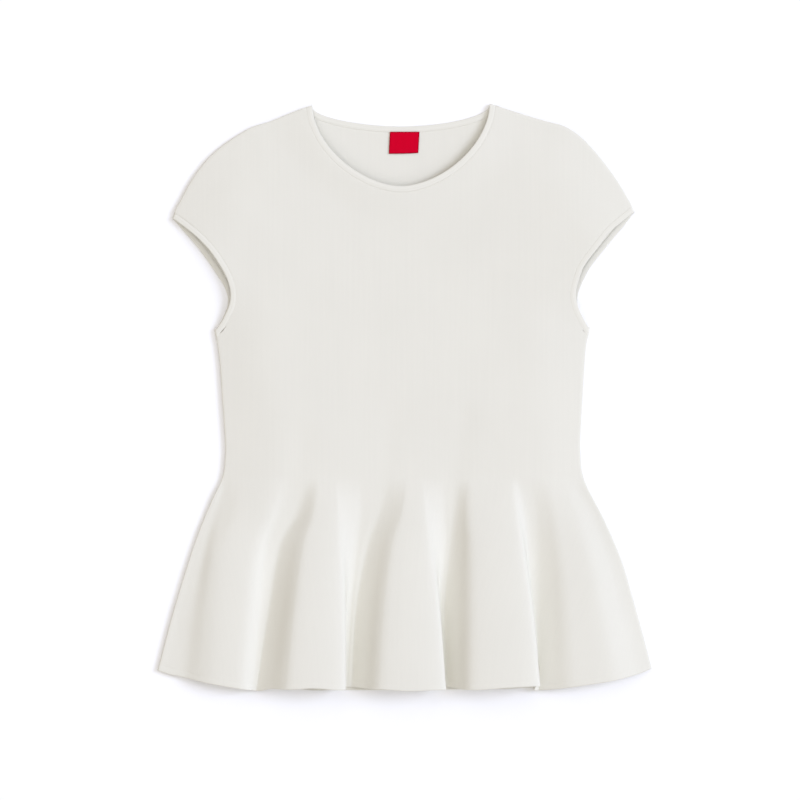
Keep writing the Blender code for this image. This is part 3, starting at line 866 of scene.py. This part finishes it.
@dataclass(frozen=True)
class HemBorder:
    """The knitted border along the hem: how much fuller it is, its fine groove and its edge line."""

    height: float = 5.5
    fuller: float = 0.06
    fade: float = 1.0
    groove: float = 0.09
    groove_width: float = 0.55
    line_height: float = 1.2
    line: float = 0.05
    line_width: float = 0.4

    def extra(self, sheet: Sheet) -> np.ndarray:
        """What the border adds to the half thickness at each point of a sheet."""
        low = sheet.margins()[2]
        fuller = self.fuller * (1 - ease((low - self.height + self.fade / 2) / self.fade))
        groove = -self.groove * np.exp(-(((low - self.height) / self.groove_width) ** 2))
        line = -self.line * np.exp(-(((low - self.line_height) / self.line_width) ** 2))
        return fuller + groove + line


# How close the columns lie at a panel's two rims
RIM_WEIGHTS = (0.12, 0.26, 0.62)
RIM_PLACES = (0.04, 0.12)


def spread_columns(count: int) -> np.ndarray:
    """Each column's share across the shoulders and neck, fine at both rims."""
    rim = np.array(RIM_WEIGHTS)
    weights = np.concatenate([rim, np.ones(count - 1 - 2 * len(rim)), rim[::-1]])
    return np.concatenate([[0.0], np.cumsum(weights)]) / weights.sum()


@dataclass
class Panel:
    """One layer of the top from shoulder to hem, as one cloth."""

    name: str
    layer: Layer
    form: FrontForm | BackForm
    seam_turn: float
    peplum_rows: int
    thickness: float = 1.7
    seam_reach: float = 2.0
    hem_rows: tuple = (0.0, 0.3, 0.9, 1.7, 3.2, 4.6, 5.1, 5.5, 5.9, 6.6)
    sheet: Sheet = field(init=False)

    def columns(self) -> np.ndarray:
        """Places across each row of the peplum, as the form reads them."""
        raise NotImplementedError

    def rows(self) -> np.ndarray:
        """Shares of the way down to the hem, from the hem up to the waist."""
        hem = 1 - np.array(self.hem_rows) / (WAIST_Y - FRONT_FORM.trough_y)
        return np.concatenate([hem, np.linspace(hem[-1], 0, self.peplum_rows)[1:]])

    def make(self) -> Piece:
        """The closed cloth."""
        at = self.columns()
        peplum = np.array([self.form.peplum_row(share, at) for share in self.rows()])
        plan = body_plan(self.layer, peplum[-1], spread_columns(len(at)))[1:]
        body = np.concatenate([plan, self.form.body(plan)[..., None]], axis=-1)
        middle = np.concatenate([peplum, body])
        middle[..., 2] += self.form.creased(middle)
        middle[..., 2] += self.seam_turn * (1 - ease(CUT.from_folds(middle) / self.seam_reach))
        self.sheet = Sheet(middle, self.thickness)
        return self.sheet.build(self.name, pattern_map(middle, len(peplum)), HemBorder().extra(self.sheet))


@dataclass
class FrontPanel(Panel):
    """The front, with its fluted hem. Its edge turns down to the seam."""

    name: str = "front_knit"
    layer: Layer = Layer.FRONT
    form: FrontForm = FRONT_FORM
    seam_turn: float = -0.25
    peplum_rows: int = 66
    step: float = 3.0

    def columns(self) -> np.ndarray:
        """Places across the fold lines, finer where they lie far apart and at both rims."""
        waist, hem = (self.form.keys(Level.at(share)) for share in (0.0, 1.0))
        along_hem = np.linalg.norm(np.diff(hem[:, ::2], axis=0), axis=1)
        gaps = np.maximum(np.abs(np.diff(waist[:, 0])), along_hem)
        rim, last = np.array(RIM_PLACES), len(gaps)
        places = [rim, last - rim, [last]]
        for n, gap in enumerate(gaps):
            count = max(int(np.ceil(gap / self.step)), 2)
            places.append(n + np.arange(count) / count)
        return np.unique(np.concatenate(places))


@dataclass
class BackPanel(Panel):
    """The back, lying flat under the front. Its edge turns up to the seam."""

    name: str = "back_knit"
    layer: Layer = Layer.BACK
    form: BackForm = BACK_FORM
    seam_turn: float = 0.15
    peplum_rows: int = 50
    column_count: int = 170

    def columns(self) -> np.ndarray:
        """Shares of the width, fine at both rims."""
        return spread_columns(self.column_count)


@dataclass
class LinkedBand:
    """A narrow folded band linked along one opening: front edge, over at the fold, back edge."""

    name: str
    front: Edge
    back: Edge
    thickness: float = 1.9
    rise: float = 0.05
    fold_radius: float = 1.3
    fold_steps: int = 12
    corners: int = 16
    wide_power: float = 0.42
    high_power: float = 0.5
    map_radius: float = 2.2
    seam_inset: float = 0.9
    seam_sink: float = 0.62

    def sections(self) -> tuple:
        """The free edge, the seam and the outer direction at each section round the opening."""
        tops = []
        for line in (self.front.free, self.front.band_seam):
            z = FRONT_FORM.body(line) + pressed(line, FRONT_CREASES) + self.rise
            tops.append(np.column_stack([line, z]))
        bottoms = []
        for line in (self.back.free, self.back.band_seam):
            bottoms.append(np.column_stack([line, np.full(len(line), self.thickness / 2)]))
        up = np.tile([0.0, 0.0, 1.0], (len(tops[0]), 1))
        down = np.tile([0.0, 0.0, -1.0], (len(bottoms[0]), 1))
        last = self.fold([p[-1] for p in tops], [p[-1] for p in bottoms], tops[0][-2])
        first = self.fold([p[0] for p in tops], [p[0] for p in bottoms], tops[0][1])
        free, seam, out = (
            np.vstack([a, b, c[::-1], d[::-1]])
            for a, b, c, d in zip((*tops, up), last, (*bottoms, down), first)
        )
        return free, seam, out

    def fold(self, top: list, bottom: list, before: np.ndarray) -> tuple:
        """The turn from the front edge down to the back edge."""
        level = outward(before[:2], top[0][:2], top[1][:2])
        side = np.array([*level, 0.0])
        angle = (np.pi * np.arange(1, self.fold_steps + 1) / (self.fold_steps + 1))[:, None]
        lines = []
        for high, low in zip(top, bottom):
            swing = side * self.fold_radius * np.sin(angle)
            lines.append((high + low) / 2 + swing + (high - low) / 2 * np.cos(angle))
        out = unit(side * np.sin(angle) + np.array([0, 0, 1.0]) * np.cos(angle))
        return (*lines, out)

    def make(self) -> Piece:
        """The closed band."""
        free, seam, out = self.sections()
        count, corners = len(free), self.corners
        turn = 2 * np.pi * np.arange(corners) / corners
        wide = np.sign(np.cos(turn)) * np.abs(np.cos(turn)) ** self.wide_power
        high = np.sign(np.sin(turn)) * np.abs(np.sin(turn)) ** self.high_power
        middle, half = (free + seam) / 2, (seam - free) / 2
        points = middle[:, None] + half[:, None] * wide[None, :, None]
        points = (points + out[:, None] * (high * self.thickness / 2)[None, :, None]).reshape(-1, 3)
        number = np.arange(count * corners).reshape(count, corners)
        step, across = np.roll(number, -1, axis=0), np.roll(number, -1, axis=1)
        both = np.roll(step, -1, axis=1)
        faces = np.stack([number, across, both, step], axis=-1).reshape(-1, 4)
        along = lengths_along(np.vstack([middle, middle[:1]]))
        around = np.arange(corners + 1) * 2 * np.pi * self.map_radius / corners
        uvs = np.empty((count, corners, 4, 2))
        uvs[..., 0, 0] = uvs[..., 3, 0] = around[None, :-1]
        uvs[..., 1, 0] = uvs[..., 2, 0] = around[None, 1:]
        uvs[..., 0, 1] = uvs[..., 1, 1] = along[:-1, None]
        uvs[..., 2, 1] = uvs[..., 3, 1] = along[1:, None]
        if volume_of(points, faces) < 0:
            faces, uvs = faces[:, ::-1], uvs[:, :, ::-1]
        return new_object(self.name, points, faces.tolist(), (uvs * MM).reshape(-1, 2))

    def seam_line(self) -> tuple:
        """The line of the linked seam on the outer face: points and outer directions."""
        free, seam, out = self.sections()
        along = unit(seam - free)
        return seam - along * self.seam_inset + out * (self.thickness / 2 - self.seam_sink), out


def volume_of(points: np.ndarray, faces: np.ndarray) -> float:
    """Six times the volume of a closed mesh of quads, negative where they face inward."""
    a, b, c, d = (points[faces[:, k]] for k in range(4))
    return (a * np.cross(b, c)).sum() + (a * np.cross(c, d)).sum()


@dataclass
class NeckLabel:
    """The plain woven label sewn inside the back neck."""

    middle: tuple = (1.5, -40.3)
    lower: tuple = ((-15.7, -10.3), (14.4, -9.4))
    upper: tuple = ((-14.56, 12.15), (15.6, 12.15))
    size: tuple = (30.1, 22.0)
    thickness: float = 0.7
    lying_z: float = 2.2
    bow: float = 0.35
    bow_at_ends: float = 0.6
    sag: float = 0.3
    ripple: float = 0.1
    ripple_turns: tuple = (0.42, 0.31)
    ripple_start: float = 0.5
    rim: float = 0.5
    rim_share: float = 0.4
    steps: tuple = (54, 38)

    def make(self) -> Piece:
        """The closed label, a little skewed and bowed, with soft folded edges."""
        across, along = np.meshgrid(rim_shares(self.steps[0]), rim_shares(self.steps[1]))
        sides = []
        for left, right in (self.lower, self.upper):
            sides.append(np.array(left) + (np.array(right) - np.array(left)) * across[..., None])
        plan = np.array(self.middle) + sides[0] + (sides[1] - sides[0]) * along[..., None]
        plan[..., 1] -= self.sag * np.sin(np.pi * across) * (1 - along)
        x, y = (across - 0.5) * self.size[0], (along - 0.5) * self.size[1]
        fullness = self.bow_at_ends + (1 - self.bow_at_ends) * np.sin(np.pi * along)
        bow = self.bow * np.sin(np.pi * across) * fullness
        turns = self.ripple_turns
        ripple = self.ripple * np.sin(turns[0] * x + self.ripple_start) * np.cos(turns[1] * y)
        z = self.lying_z + self.thickness / 2 + bow + ripple
        middle = np.concatenate([plan, z[..., None]], axis=-1)
        sheet = Sheet(middle, self.thickness, self.rim, self.rim_share)
        return sheet.build("label_woven", np.stack([x, y], axis=-1) * MM, np.zeros(x.shape))


# Finishes


def feed(tree: Tree, socket: Socket, value) -> None:
    """Gives an input a value, or links it where the value is another node's output."""
    if isinstance(value, Socket):
        tree.links.new(value, socket)
    else:
        socket.default_value = value


def node(tree: Tree, kind: str, inputs: dict | None = None, **settings) -> bpy.types.Node:
    """A new node.

    Args:
        tree: where it goes.
        kind: its Blender type.
        inputs: a value or another node's output for each input, by name or number.
        settings: its properties, which are set first.

    Returns:
        The node.
    """
    made = tree.nodes.new(kind)
    for name, value in settings.items():
        setattr(made, name, value)
    for place, value in (inputs or {}).items():
        feed(tree, made.inputs[place], value)
    return made


def maths(tree: Tree, operation: str, *values) -> Socket:
    """The output of a math node whose inputs are these numbers or sockets."""
    return node(tree, "ShaderNodeMath", dict(enumerate(values)), operation=operation).outputs[0]


def noise(tree: Tree, place: Socket, scale: float, detail: float = 2.0, **settings) -> Socket:
    """The value of a noise texture at a place."""
    inputs = {"Vector": place, "Scale": scale, "Detail": detail}
    return node(tree, "ShaderNodeTexNoise", inputs, **settings).outputs[0]


def blended(tree: Tree, share: Socket, first, second) -> Socket:
    """A mix from the first to the second of two colours, each three numbers or a socket."""
    ends = (end if isinstance(end, Socket) else (*end, 1.0) for end in (first, second))
    inputs = dict(zip(("Factor", "A", "B"), (share, *ends)))
    return node(tree, "ShaderNodeMix", inputs, data_type="RGBA").outputs["Result"]


def times(tree: Tree, color, shade: Socket) -> Socket:
    """A colour, as three numbers or a socket, times a shade."""
    return node(tree, "ShaderNodeVectorMath", {0: color, "Scale": shade}, operation="SCALE").outputs[0]


def new_group(name: str, inputs: dict, outputs: dict) -> tuple:
    """A shader node group with named sockets.

    Args:
        name: the group's name.
        inputs: socket type and default by name.
        outputs: socket type by name.

    Returns:
        The group, its input node and its output node.
    """
    group = bpy.data.node_groups.new(name, "ShaderNodeTree")
    for label, (kind, default) in inputs.items():
        socket = group.interface.new_socket(label, in_out="INPUT", socket_type=kind)
        if default is not None:
            socket.default_value = default
    for label, kind in outputs.items():
        group.interface.new_socket(label, in_out="OUTPUT", socket_type=kind)
    return group, group.nodes.new("NodeGroupInput"), group.nodes.new("NodeGroupOutput")


# The loops of the knit, and the yarn's streaks and clouds as input, scale and detail
LOOP_SLANT = 1.3
LOOP_DEPTH = 0.6
LEG_POWER = 0.7
STREAKS = ("Streak", (420.0, 9.0, 1.0), 2.0)
CLOUDS = ("Cloud", (16.0, 11.0, 1.0), 1.0)
FUZZ_SCALE = 1400.0


@lru_cache(maxsize=None)
def fine_knit() -> Tree:
    """Wales of slanted loops: a height, and a mask of the hollows between the wales, where painted shade
    goes.
    """
    group, given, put = new_group(
        "fine knit",
        {
            "Vector": ("NodeSocketVector", None),
            "Wale": ("NodeSocketFloat", 1.25),
            "Course": ("NodeSocketFloat", 0.95),
        },
        {"Height": "NodeSocketFloat", "Hollow": "NodeSocketFloat"},
    )
    calc = partial(maths, group)
    split = node(group, "ShaderNodeSeparateXYZ", {0: given.outputs["Vector"]}).outputs
    across, up = (calc("MULTIPLY", split[axis], 1 / MM) for axis in range(2))
    wale = calc("DIVIDE", across, given.outputs["Wale"])
    course = calc("DIVIDE", up, given.outputs["Course"])
    swing = calc("PINGPONG", wale, 0.5)
    leg = calc("SINE", calc("MULTIPLY", calc("FRACT", calc("MULTIPLY", wale, 2.0)), math.pi))
    slanted = calc("ADD", course, calc("MULTIPLY", swing, LOOP_SLANT))
    loop = calc("MULTIPLY_ADD", calc("SINE", calc("MULTIPLY", slanted, 2 * math.pi)), 0.5, 0.5)
    raised = calc("MULTIPLY_ADD", loop, LOOP_DEPTH, 1 - LOOP_DEPTH)
    feed(group, put.inputs["Height"], calc("MULTIPLY", calc("POWER", leg, LEG_POWER), raised))
    between = calc("SINE", calc("MULTIPLY", swing, math.pi))
    feed(group, put.inputs["Hollow"], calc("SUBTRACT", 1.0, between))
    return group


@lru_cache(maxsize=None)
def uneven_yarn() -> Tree:
    """Faint streaks along the wales and slow unevenness of a knitted yarn, about a value of one."""
    group, given, put = new_group(
        "uneven yarn",
        {
            "Vector": ("NodeSocketVector", None),
            "Streak": ("NodeSocketFloat", 0.02),
            "Cloud": ("NodeSocketFloat", 0.02),
        },
        {"Shade": "NodeSocketFloat", "Fuzz": "NodeSocketFloat"},
    )
    calc = partial(maths, group)
    vector = given.outputs["Vector"]
    shades = []
    for label, scale, detail in (STREAKS, CLOUDS):
        place = node(group, "ShaderNodeMapping", {"Vector": vector, "Scale": scale}).outputs[0]
        value = noise(group, place, 1.0, detail, noise_dimensions="2D")
        centred = calc("MULTIPLY", calc("SUBTRACT", value, 0.5), 2.0)
        shades.append(calc("MULTIPLY", centred, given.outputs[label]))
    feed(group, put.inputs["Shade"], calc("ADD", calc("ADD", *shades), 1.0))
    feed(group, put.inputs["Fuzz"], noise(group, vector, FUZZ_SCALE, noise_dimensions="2D"))
    return group


def principled(name: str, roughness: float, sheen: float, specular: float = 0.2) -> tuple:
    """A new material.

    Returns:
        The material, its tree and its Principled node.
    """
    material = bpy.data.materials.new(name)
    material.use_nodes = True
    tree = material.node_tree
    shader = tree.nodes["Principled BSDF"]
    finish = {"Roughness": roughness, "Sheen Weight": sheen, "Specular IOR Level": specular}
    for label, value in finish.items():
        feed(tree, shader.inputs[label], value)
    shader.inputs["Sheen Roughness"].default_value = 0.5
    return material, tree, shader


def surfaced(tree: Tree, shader: bpy.types.Node, color: Socket, height: Socket, distance: float) -> None:
    """Gives a material its colour and a relief of this height field times the distance."""
    feed(tree, shader.inputs["Base Color"], color)
    bump = node(tree, "ShaderNodeBump", {"Strength": 1.0, "Distance": distance, "Height": height})
    feed(tree, shader.inputs["Normal"], bump.outputs[0])


def cloth_place(tree: Tree) -> Socket:
    """The place in the cloth's own map."""
    return node(tree, "ShaderNodeUVMap", uv_map=PATTERN_MAP).outputs[0]


def placed(tree: Tree, group: Tree, vector: Socket, **values) -> bpy.types.Node:
    """A group placed in a material with its own values."""
    return node(tree, "ShaderNodeGroup", {"Vector": vector, **values}, node_tree=group)


@dataclass(frozen=True)
class KnitFinish:
    """A fine compact knit of matt yarn, with painted shade in the hollows between its wales."""

    name: str
    color: tuple = (0.797, 0.776, 0.682)
    # Painted shade: the darker colour in the hollows between the wales, and how much of it is mixed in.
    hollow_shade_color: tuple = (0.69, 0.658, 0.55)
    hollow_shade: float = 0.22
    wale: float = 1.25
    course: float = 0.95
    streak: float = 0.012
    cloud: float = 0.014
    relief: float = 0.09
    fuzz: float = 0.05
    roughness: float = 0.92
    sheen: float = 0.06
    rough_swing: float = 0.08

    def material(self) -> Material:
        """The material."""
        material, tree, shader = principled(self.name, self.roughness, self.sheen)
        calc = partial(maths, tree)
        place = cloth_place(tree)
        knit = placed(tree, fine_knit(), place, Wale=self.wale, Course=self.course)
        yarn = placed(tree, uneven_yarn(), place, Streak=self.streak, Cloud=self.cloud)
        # Painted shade: the colour darkens in the hollows between the wales.
        hollow_shade_mask = calc("MULTIPLY", knit.outputs["Hollow"], self.hollow_shade)
        color = times(tree, blended(tree, hollow_shade_mask, self.color, self.hollow_shade_color), yarn.outputs["Shade"])
        fuzz = yarn.outputs["Fuzz"]
        rough = calc("MULTIPLY_ADD", fuzz, self.rough_swing, self.roughness - self.rough_swing / 2)
        feed(tree, shader.inputs["Roughness"], rough)
        loops = calc("MULTIPLY", knit.outputs["Height"], self.relief)
        surfaced(tree, shader, color, calc("ADD", loops, calc("MULTIPLY", fuzz, self.fuzz)), MM)
        return material


@dataclass(frozen=True)
class ThreadFinish:
    """A spun thread for the linking stitches."""

    name: str
    color: tuple
    dark: tuple
    roughness: float = 0.85
    sheen: float = 0.05
    grain: float = 900.0
    relief: float = 0.05

    def material(self) -> Material:
        """The material."""
        material, tree, shader = principled(self.name, self.roughness, self.sheen)
        grain = noise(tree, node(tree, "ShaderNodeTexCoord").outputs["Object"], self.grain)
        color = blended(tree, grain, self.dark, self.color)
        surfaced(tree, shader, color, grain, self.relief * MM)
        return material


@dataclass(frozen=True)
class WovenLabelFinish:
    """A dense satin weave with a darker folded border and painted shade between its picks."""

    name: str = "red woven label"
    color: tuple = (0.62, 0.0006, 0.0207)
    border_color: tuple = (0.34, 0.0006, 0.016)
    size: tuple = NeckLabel.size
    border: float = 0.9
    border_fade: tuple = (0.4, 1.5)
    pick: float = 0.28
    pick_ratio: float = 1.6
    # How much darker the low picks of the weave are painted: painted shade.
    weave_shade: float = 0.14
    uneven: float = 0.05
    relief: float = 0.05
    roughness: float = 0.72
    specular: float = 0.02

    def border_share(self, tree: Tree, split: bpy.types.NodeOutputs) -> Socket:
        """0 on the folded border, easing to 1 inside it."""
        calc = partial(maths, tree)
        margins = []
        for axis in range(2):
            margins.append(calc("SUBTRACT", self.size[axis] / 2 * MM, calc("ABSOLUTE", split[axis])))
        start, end = (self.border * MM * share for share in self.border_fade)
        inputs = {"Value": calc("MINIMUM", *margins), "From Min": start, "From Max": end}
        return node(tree, "ShaderNodeMapRange", inputs, interpolation_type="SMOOTHSTEP").outputs[0]

    def weave(self, tree: Tree, split: bpy.types.NodeOutputs) -> Socket:
        """The height of the woven picks, from 0 to 1."""
        threads = []
        for axis, pitch in ((0, self.pick), (1, self.pick * self.pick_ratio)):
            phase = maths(tree, "MULTIPLY", split[axis], 2 * math.pi / (pitch * MM))
            threads.append(maths(tree, "SINE", phase))
        return maths(tree, "MULTIPLY_ADD", maths(tree, "MULTIPLY", *threads), 0.5, 0.5)

    def material(self) -> Material:
        """The material."""
        material, tree, shader = principled(self.name, self.roughness, 0.0, self.specular)
        place = cloth_place(tree)
        split = node(tree, "ShaderNodeSeparateXYZ", {0: place}).outputs
        weave = self.weave(tree, split)
        yarn = placed(tree, uneven_yarn(), place, Streak=self.uneven, Cloud=self.uneven)
        color = blended(tree, self.border_share(tree, split), self.border_color, self.color)
        # Painted shade: the colour darkens where the woven picks lie low.
        depth = maths(tree, "MULTIPLY_ADD", weave, self.weave_shade, 1 - self.weave_shade / 2)
        shade = maths(tree, "MULTIPLY", yarn.outputs["Shade"], depth)
        surfaced(tree, shader, times(tree, color, shade), weave, self.relief * MM)
        return material


@dataclass(frozen=True)
class PaperFinish:
    """The plain pale surface under the top."""

    name: str = "pale surface"
    color: tuple = (0.96, 0.951, 0.925)
    roughness: float = 0.95
    grain: float = 40.0
    uneven: float = 0.004

    def material(self) -> Material:
        """The material."""
        material, tree, shader = principled(self.name, self.roughness, 0.0)
        grain = noise(tree, node(tree, "ShaderNodeTexCoord").outputs["Object"], self.grain)
        shade = maths(tree, "MULTIPLY_ADD", grain, self.uneven, 1 - self.uneven / 2)
        feed(tree, shader.inputs["Base Color"], times(tree, self.color, shade))
        return material


# Stitches


@dataclass(frozen=True)
class Stitching:
    """A row of small thread loops along a line, made by a node tree with named inputs."""

    pitch: float = 2.2
    length: float = 1.9
    thread: float = 0.42
    slant: float = 0.5
    uneven: float = 0.12
    seed: int = 7

    SOCKETS = {
        "Line": "Geometry", "Pitch": "Float", "Length": "Float", "Thread": "Float",
        "Slant": "Float", "Uneven": "Float", "Seed": "Int", "Finish": "Material",
    }
    ARC = {"Resolution": 5, "Start Angle": math.radians(35), "Sweep Angle": math.radians(110)}
    ARC_RADIUS = 0.61
    ROUND = 6

    @classmethod
    def loop(cls, tree: Tree, length: Socket, thick: Socket) -> Socket:
        """One thread loop: an arc of round thread, its chord lowered to the line."""
        arc_inputs = {**cls.ARC, "Radius": maths(tree, "MULTIPLY", length, cls.ARC_RADIUS)}
        arc = node(tree, "GeometryNodeCurveArc", arc_inputs, mode="RADIUS")
        ring_inputs = {"Resolution": cls.ROUND, "Radius": maths(tree, "MULTIPLY", thick, 0.5)}
        ring = node(tree, "GeometryNodeCurvePrimitiveCircle", ring_inputs, mode="RADIUS")
        sweep = {"Curve": arc.outputs["Curve"], "Profile Curve": ring.outputs["Curve"], "Fill Caps": True}
        thread = node(tree, "GeometryNodeCurveToMesh", sweep)
        drop = node(tree, "ShaderNodeCombineXYZ", {"Y": maths(tree, "MULTIPLY", length, -0.5)})
        moved = {"Geometry": thread.outputs[0], "Translation": drop.outputs[0]}
        return node(tree, "GeometryNodeTransform", moved).outputs[0]

    @staticmethod
    def upright(tree: Tree) -> Socket:
        """The turn that lays a loop along the line with its back to the cloth."""
        tangent = node(tree, "GeometryNodeInputTangent").outputs[0]
        along = node(tree, "FunctionNodeAlignRotationToVector", {"Vector": tangent}, axis="X")
        outer = node(tree, "GeometryNodeInputNamedAttribute", {"Name": "out"}, data_type="FLOAT_VECTOR")
        facing = {"Rotation": along.outputs[0], "Vector": outer.outputs["Attribute"]}
        return node(tree, "FunctionNodeAlignRotationToVector", facing, axis="Y", pivot_axis="X").outputs[0]

    @classmethod
    @lru_cache(maxsize=None)
    def tree(cls) -> Tree:
        """The node tree: points along the line, a loop of thread on each, turned along and out."""
        tree = bpy.data.node_groups.new("linked stitches", "GeometryNodeTree")
        for label, kind in cls.SOCKETS.items():
            tree.interface.new_socket(label, in_out="INPUT", socket_type="NodeSocket" + kind)
        tree.interface.new_socket("Stitches", in_out="OUTPUT", socket_type="NodeSocketGeometry")
        given = node(tree, "NodeGroupInput").outputs
        line = node(tree, "GeometryNodeMeshToCurve", {0: given["Line"]}).outputs[0]
        spaced = {"Curve": line, "Length": given["Pitch"]}
        points = node(tree, "GeometryNodeResampleCurve", spaced, mode="LENGTH").outputs[0]
        loop = cls.loop(tree, given["Length"], given["Thread"])
        instances = {"Points": points, "Instance": loop, "Rotation": cls.upright(tree)}
        loops = node(tree, "GeometryNodeInstanceOnPoints", instances).outputs[0]
        most = given["Uneven"]
        swing = {"Min": maths(tree, "MULTIPLY", most, -1.0), "Max": most, "Seed": given["Seed"]}
        chance = node(tree, "FunctionNodeRandomValue", swing, data_type="FLOAT").outputs["Value"]
        tilt = maths(tree, "ADD", chance, given["Slant"])
        spin = node(tree, "ShaderNodeCombineXYZ", {"Y": tilt}).outputs[0]
        inclined = {"Instances": loops, "Rotation": spin}
        turned = node(tree, "GeometryNodeRotateInstances", inclined).outputs[0]
        real = node(tree, "GeometryNodeRealizeInstances", {0: turned}).outputs[0]
        dressed = {"Geometry": real, "Material": given["Finish"]}
        made = node(tree, "GeometryNodeSetMaterial", dressed).outputs[0]
        node(tree, "NodeGroupOutput", {0: made})
        return tree

    def along(self, name: str, line: tuple, finish: Material) -> Piece:
        """Stitches along a closed line.

        Args:
            name: the object's name.
            line: the points in millimetres and the outer direction at each.
            finish: the thread's material.

        Returns:
            A plain mesh object.
        """
        points, out = line
        edges = [(n, (n + 1) % len(points)) for n in range(len(points))]
        mesh = bpy.data.meshes.new(name + "_line")
        mesh.from_pydata((points + SHIFT) * MM, edges, [])
        outer = mesh.attributes.new("out", "FLOAT_VECTOR", "POINT")
        outer.data.foreach_set("vector", np.asarray(out, np.float32).ravel())
        holder = linked(name + "_line", mesh)
        modifier = holder.modifiers.new("stitches", "NODES")
        modifier.node_group = self.tree()
        values = {
            "Pitch": self.pitch * MM, "Length": self.length * MM, "Thread": self.thread * MM,
            "Slant": self.slant, "Uneven": self.uneven, "Seed": self.seed, "Finish": finish,
        }
        for item in modifier.node_group.interface.items_tree:
            if item.in_out == "INPUT" and item.name in values:
                modifier[item.identifier] = values[item.name]
        graph = bpy.context.evaluated_depsgraph_get()
        made = bpy.data.meshes.new_from_object(holder.evaluated_get(graph))
        bpy.data.objects.remove(holder)
        made.name = name
        made.shade_smooth()
        return linked(name, made)


# Studio


@dataclass(frozen=True)
class Studio:
    """A pale surface, a soft light from the right, the room's own light and a camera straight above."""

    floor_side: float = 6.0
    key_elevation: float = 33.0
    key_azimuth: float = 15.0
    key_strength: float = 1.36
    key_angle: float = 26.0
    key_distance: float = 3.0
    key_color: tuple = (0.90, 1.0, 1.30)
    overhead_color: tuple = (1.172, 1.174, 1.237)
    left_color: tuple = (0.18, 0.10, 0.0)
    right_color: tuple = (0.22, 0.22, 0.22)
    camera_height: float = 3.0
    camera_lens: float = 132.4
    camera_sensor: float = 36.0
    camera_reach: float = 20.0
    middle: tuple = (-2.75, -301.4)

    def floor(self) -> None:
        """The surface that the top lies on."""
        half = self.floor_side / 2
        mesh = bpy.data.meshes.new("surface")
        corners = [(-half, -half, 0), (half, -half, 0), (half, half, 0), (-half, half, 0)]
        mesh.from_pydata(corners, [], [(0, 1, 2, 3)])
        mesh.materials.append(PaperFinish().material())
        linked("surface", mesh)

    def key(self) -> None:
        """The soft light from the right, as a sun."""
        sun = bpy.data.lights.new("key", "SUN")
        sun.energy = self.key_strength
        sun.angle = math.radians(self.key_angle)
        sun.color = self.key_color
        low, round_ = math.radians(self.key_elevation), math.radians(self.key_azimuth)
        level = math.cos(low)
        toward = Vector((level * math.cos(round_), level * math.sin(round_), math.sin(low)))
        obj = linked("key", sun)
        obj.rotation_euler = toward.to_track_quat("Z", "Y").to_euler()
        obj.location = toward * self.key_distance

    def room(self) -> None:
        """The light of the room, from its colour at the left to those at the right and overhead."""
        world = bpy.data.worlds.new("room")
        world.use_nodes = True
        tree = world.node_tree
        generated = node(tree, "ShaderNodeTexCoord").outputs["Generated"]
        direction = node(tree, "ShaderNodeSeparateXYZ", {0: generated}).outputs
        rightward = maths(tree, "MULTIPLY_ADD", direction["X"], 0.5, 0.5)
        level = blended(tree, rightward, self.left_color, self.right_color)
        light = blended(tree, direction["Z"], level, self.overhead_color)
        feed(tree, tree.nodes["Background"].inputs["Color"], light)
        bpy.context.scene.world = world

    def camera(self) -> None:
        """The camera over the middle of the picture."""
        data = bpy.data.cameras.new("overhead")
        data.lens = self.camera_lens
        data.sensor_width = self.camera_sensor
        data.clip_end = self.camera_reach
        obj = linked("overhead", data)
        x, y = ((self.middle[k] + SHIFT[k]) * MM for k in range(2))
        obj.location = (x, y, self.camera_height)
        bpy.context.scene.camera = obj
        bpy.context.scene.view_settings.view_transform = "Standard"

    def make(self) -> None:
        """Floor, lights and camera."""
        self.camera()
        self.floor()
        self.key()
        self.room()


SHIFT = part_shift()


def add(obj: Piece, finish: Material, slot: str, *nodes: str) -> Piece:
    """Dresses a piece and gives it its place in the part.

    Args:
        obj: the piece.
        finish: its material.
        slot: not used.
        nodes: the solids that it stands for.

    Returns:
        The piece.
    """
    if not obj.data.materials:
        obj.data.materials.append(finish)
    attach(obj, "root")
    if nodes:
        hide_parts(*nodes)
    log.info("%s: %d faces", obj.name, len(obj.data.polygons))
    return obj


def main() -> None:
    """Builds the top piece by piece, then the studio."""
    logging.basicConfig(level=logging.INFO, format="%(name)s: %(message)s")
    knit = KnitFinish("off-white knit").material()
    band = KnitFinish("off-white linked band", wale=1.1, course=0.9, relief=0.07).material()
    thread = ThreadFinish("off-white linking thread", (0.80, 0.78, 0.686), (0.74, 0.718, 0.622)).material()

    front, back = FrontPanel(), BackPanel()
    front_knit = add(front.make(), knit, "knit", "front_panel")
    back_knit = add(back.make(), knit, "knit", "back_panel")
    front.sheet.area()
    back.sheet.area()

    bands = [LinkedBand("neck_linked", *(CUT.neck_edge(layer, 150) for layer in Layer))]
    for hand in Hand:
        edges = (CUT.arm_edge(hand, layer, 70) for layer in Layer)
        bands.append(LinkedBand(f"armhole_linked_{hand.value}", *edges))
    solids = ("neck_band", "armhole_band_left", "armhole_band_right")
    for piece, solid in zip(bands, solids):
        made = add(piece.make(), band, "band", solid)
        seam = Stitching().along(piece.name + "_stitches", piece.seam_line(), thread)
        add(seam, thread, "band")
        around = lengths_along(piece.sections()[0])[-1] * MM

    label = NeckLabel()
    label_piece = add(label.make(), WovenLabelFinish().material(), "label", "neck_label")
    Studio().make()


if __name__ == "__main__":
    main()
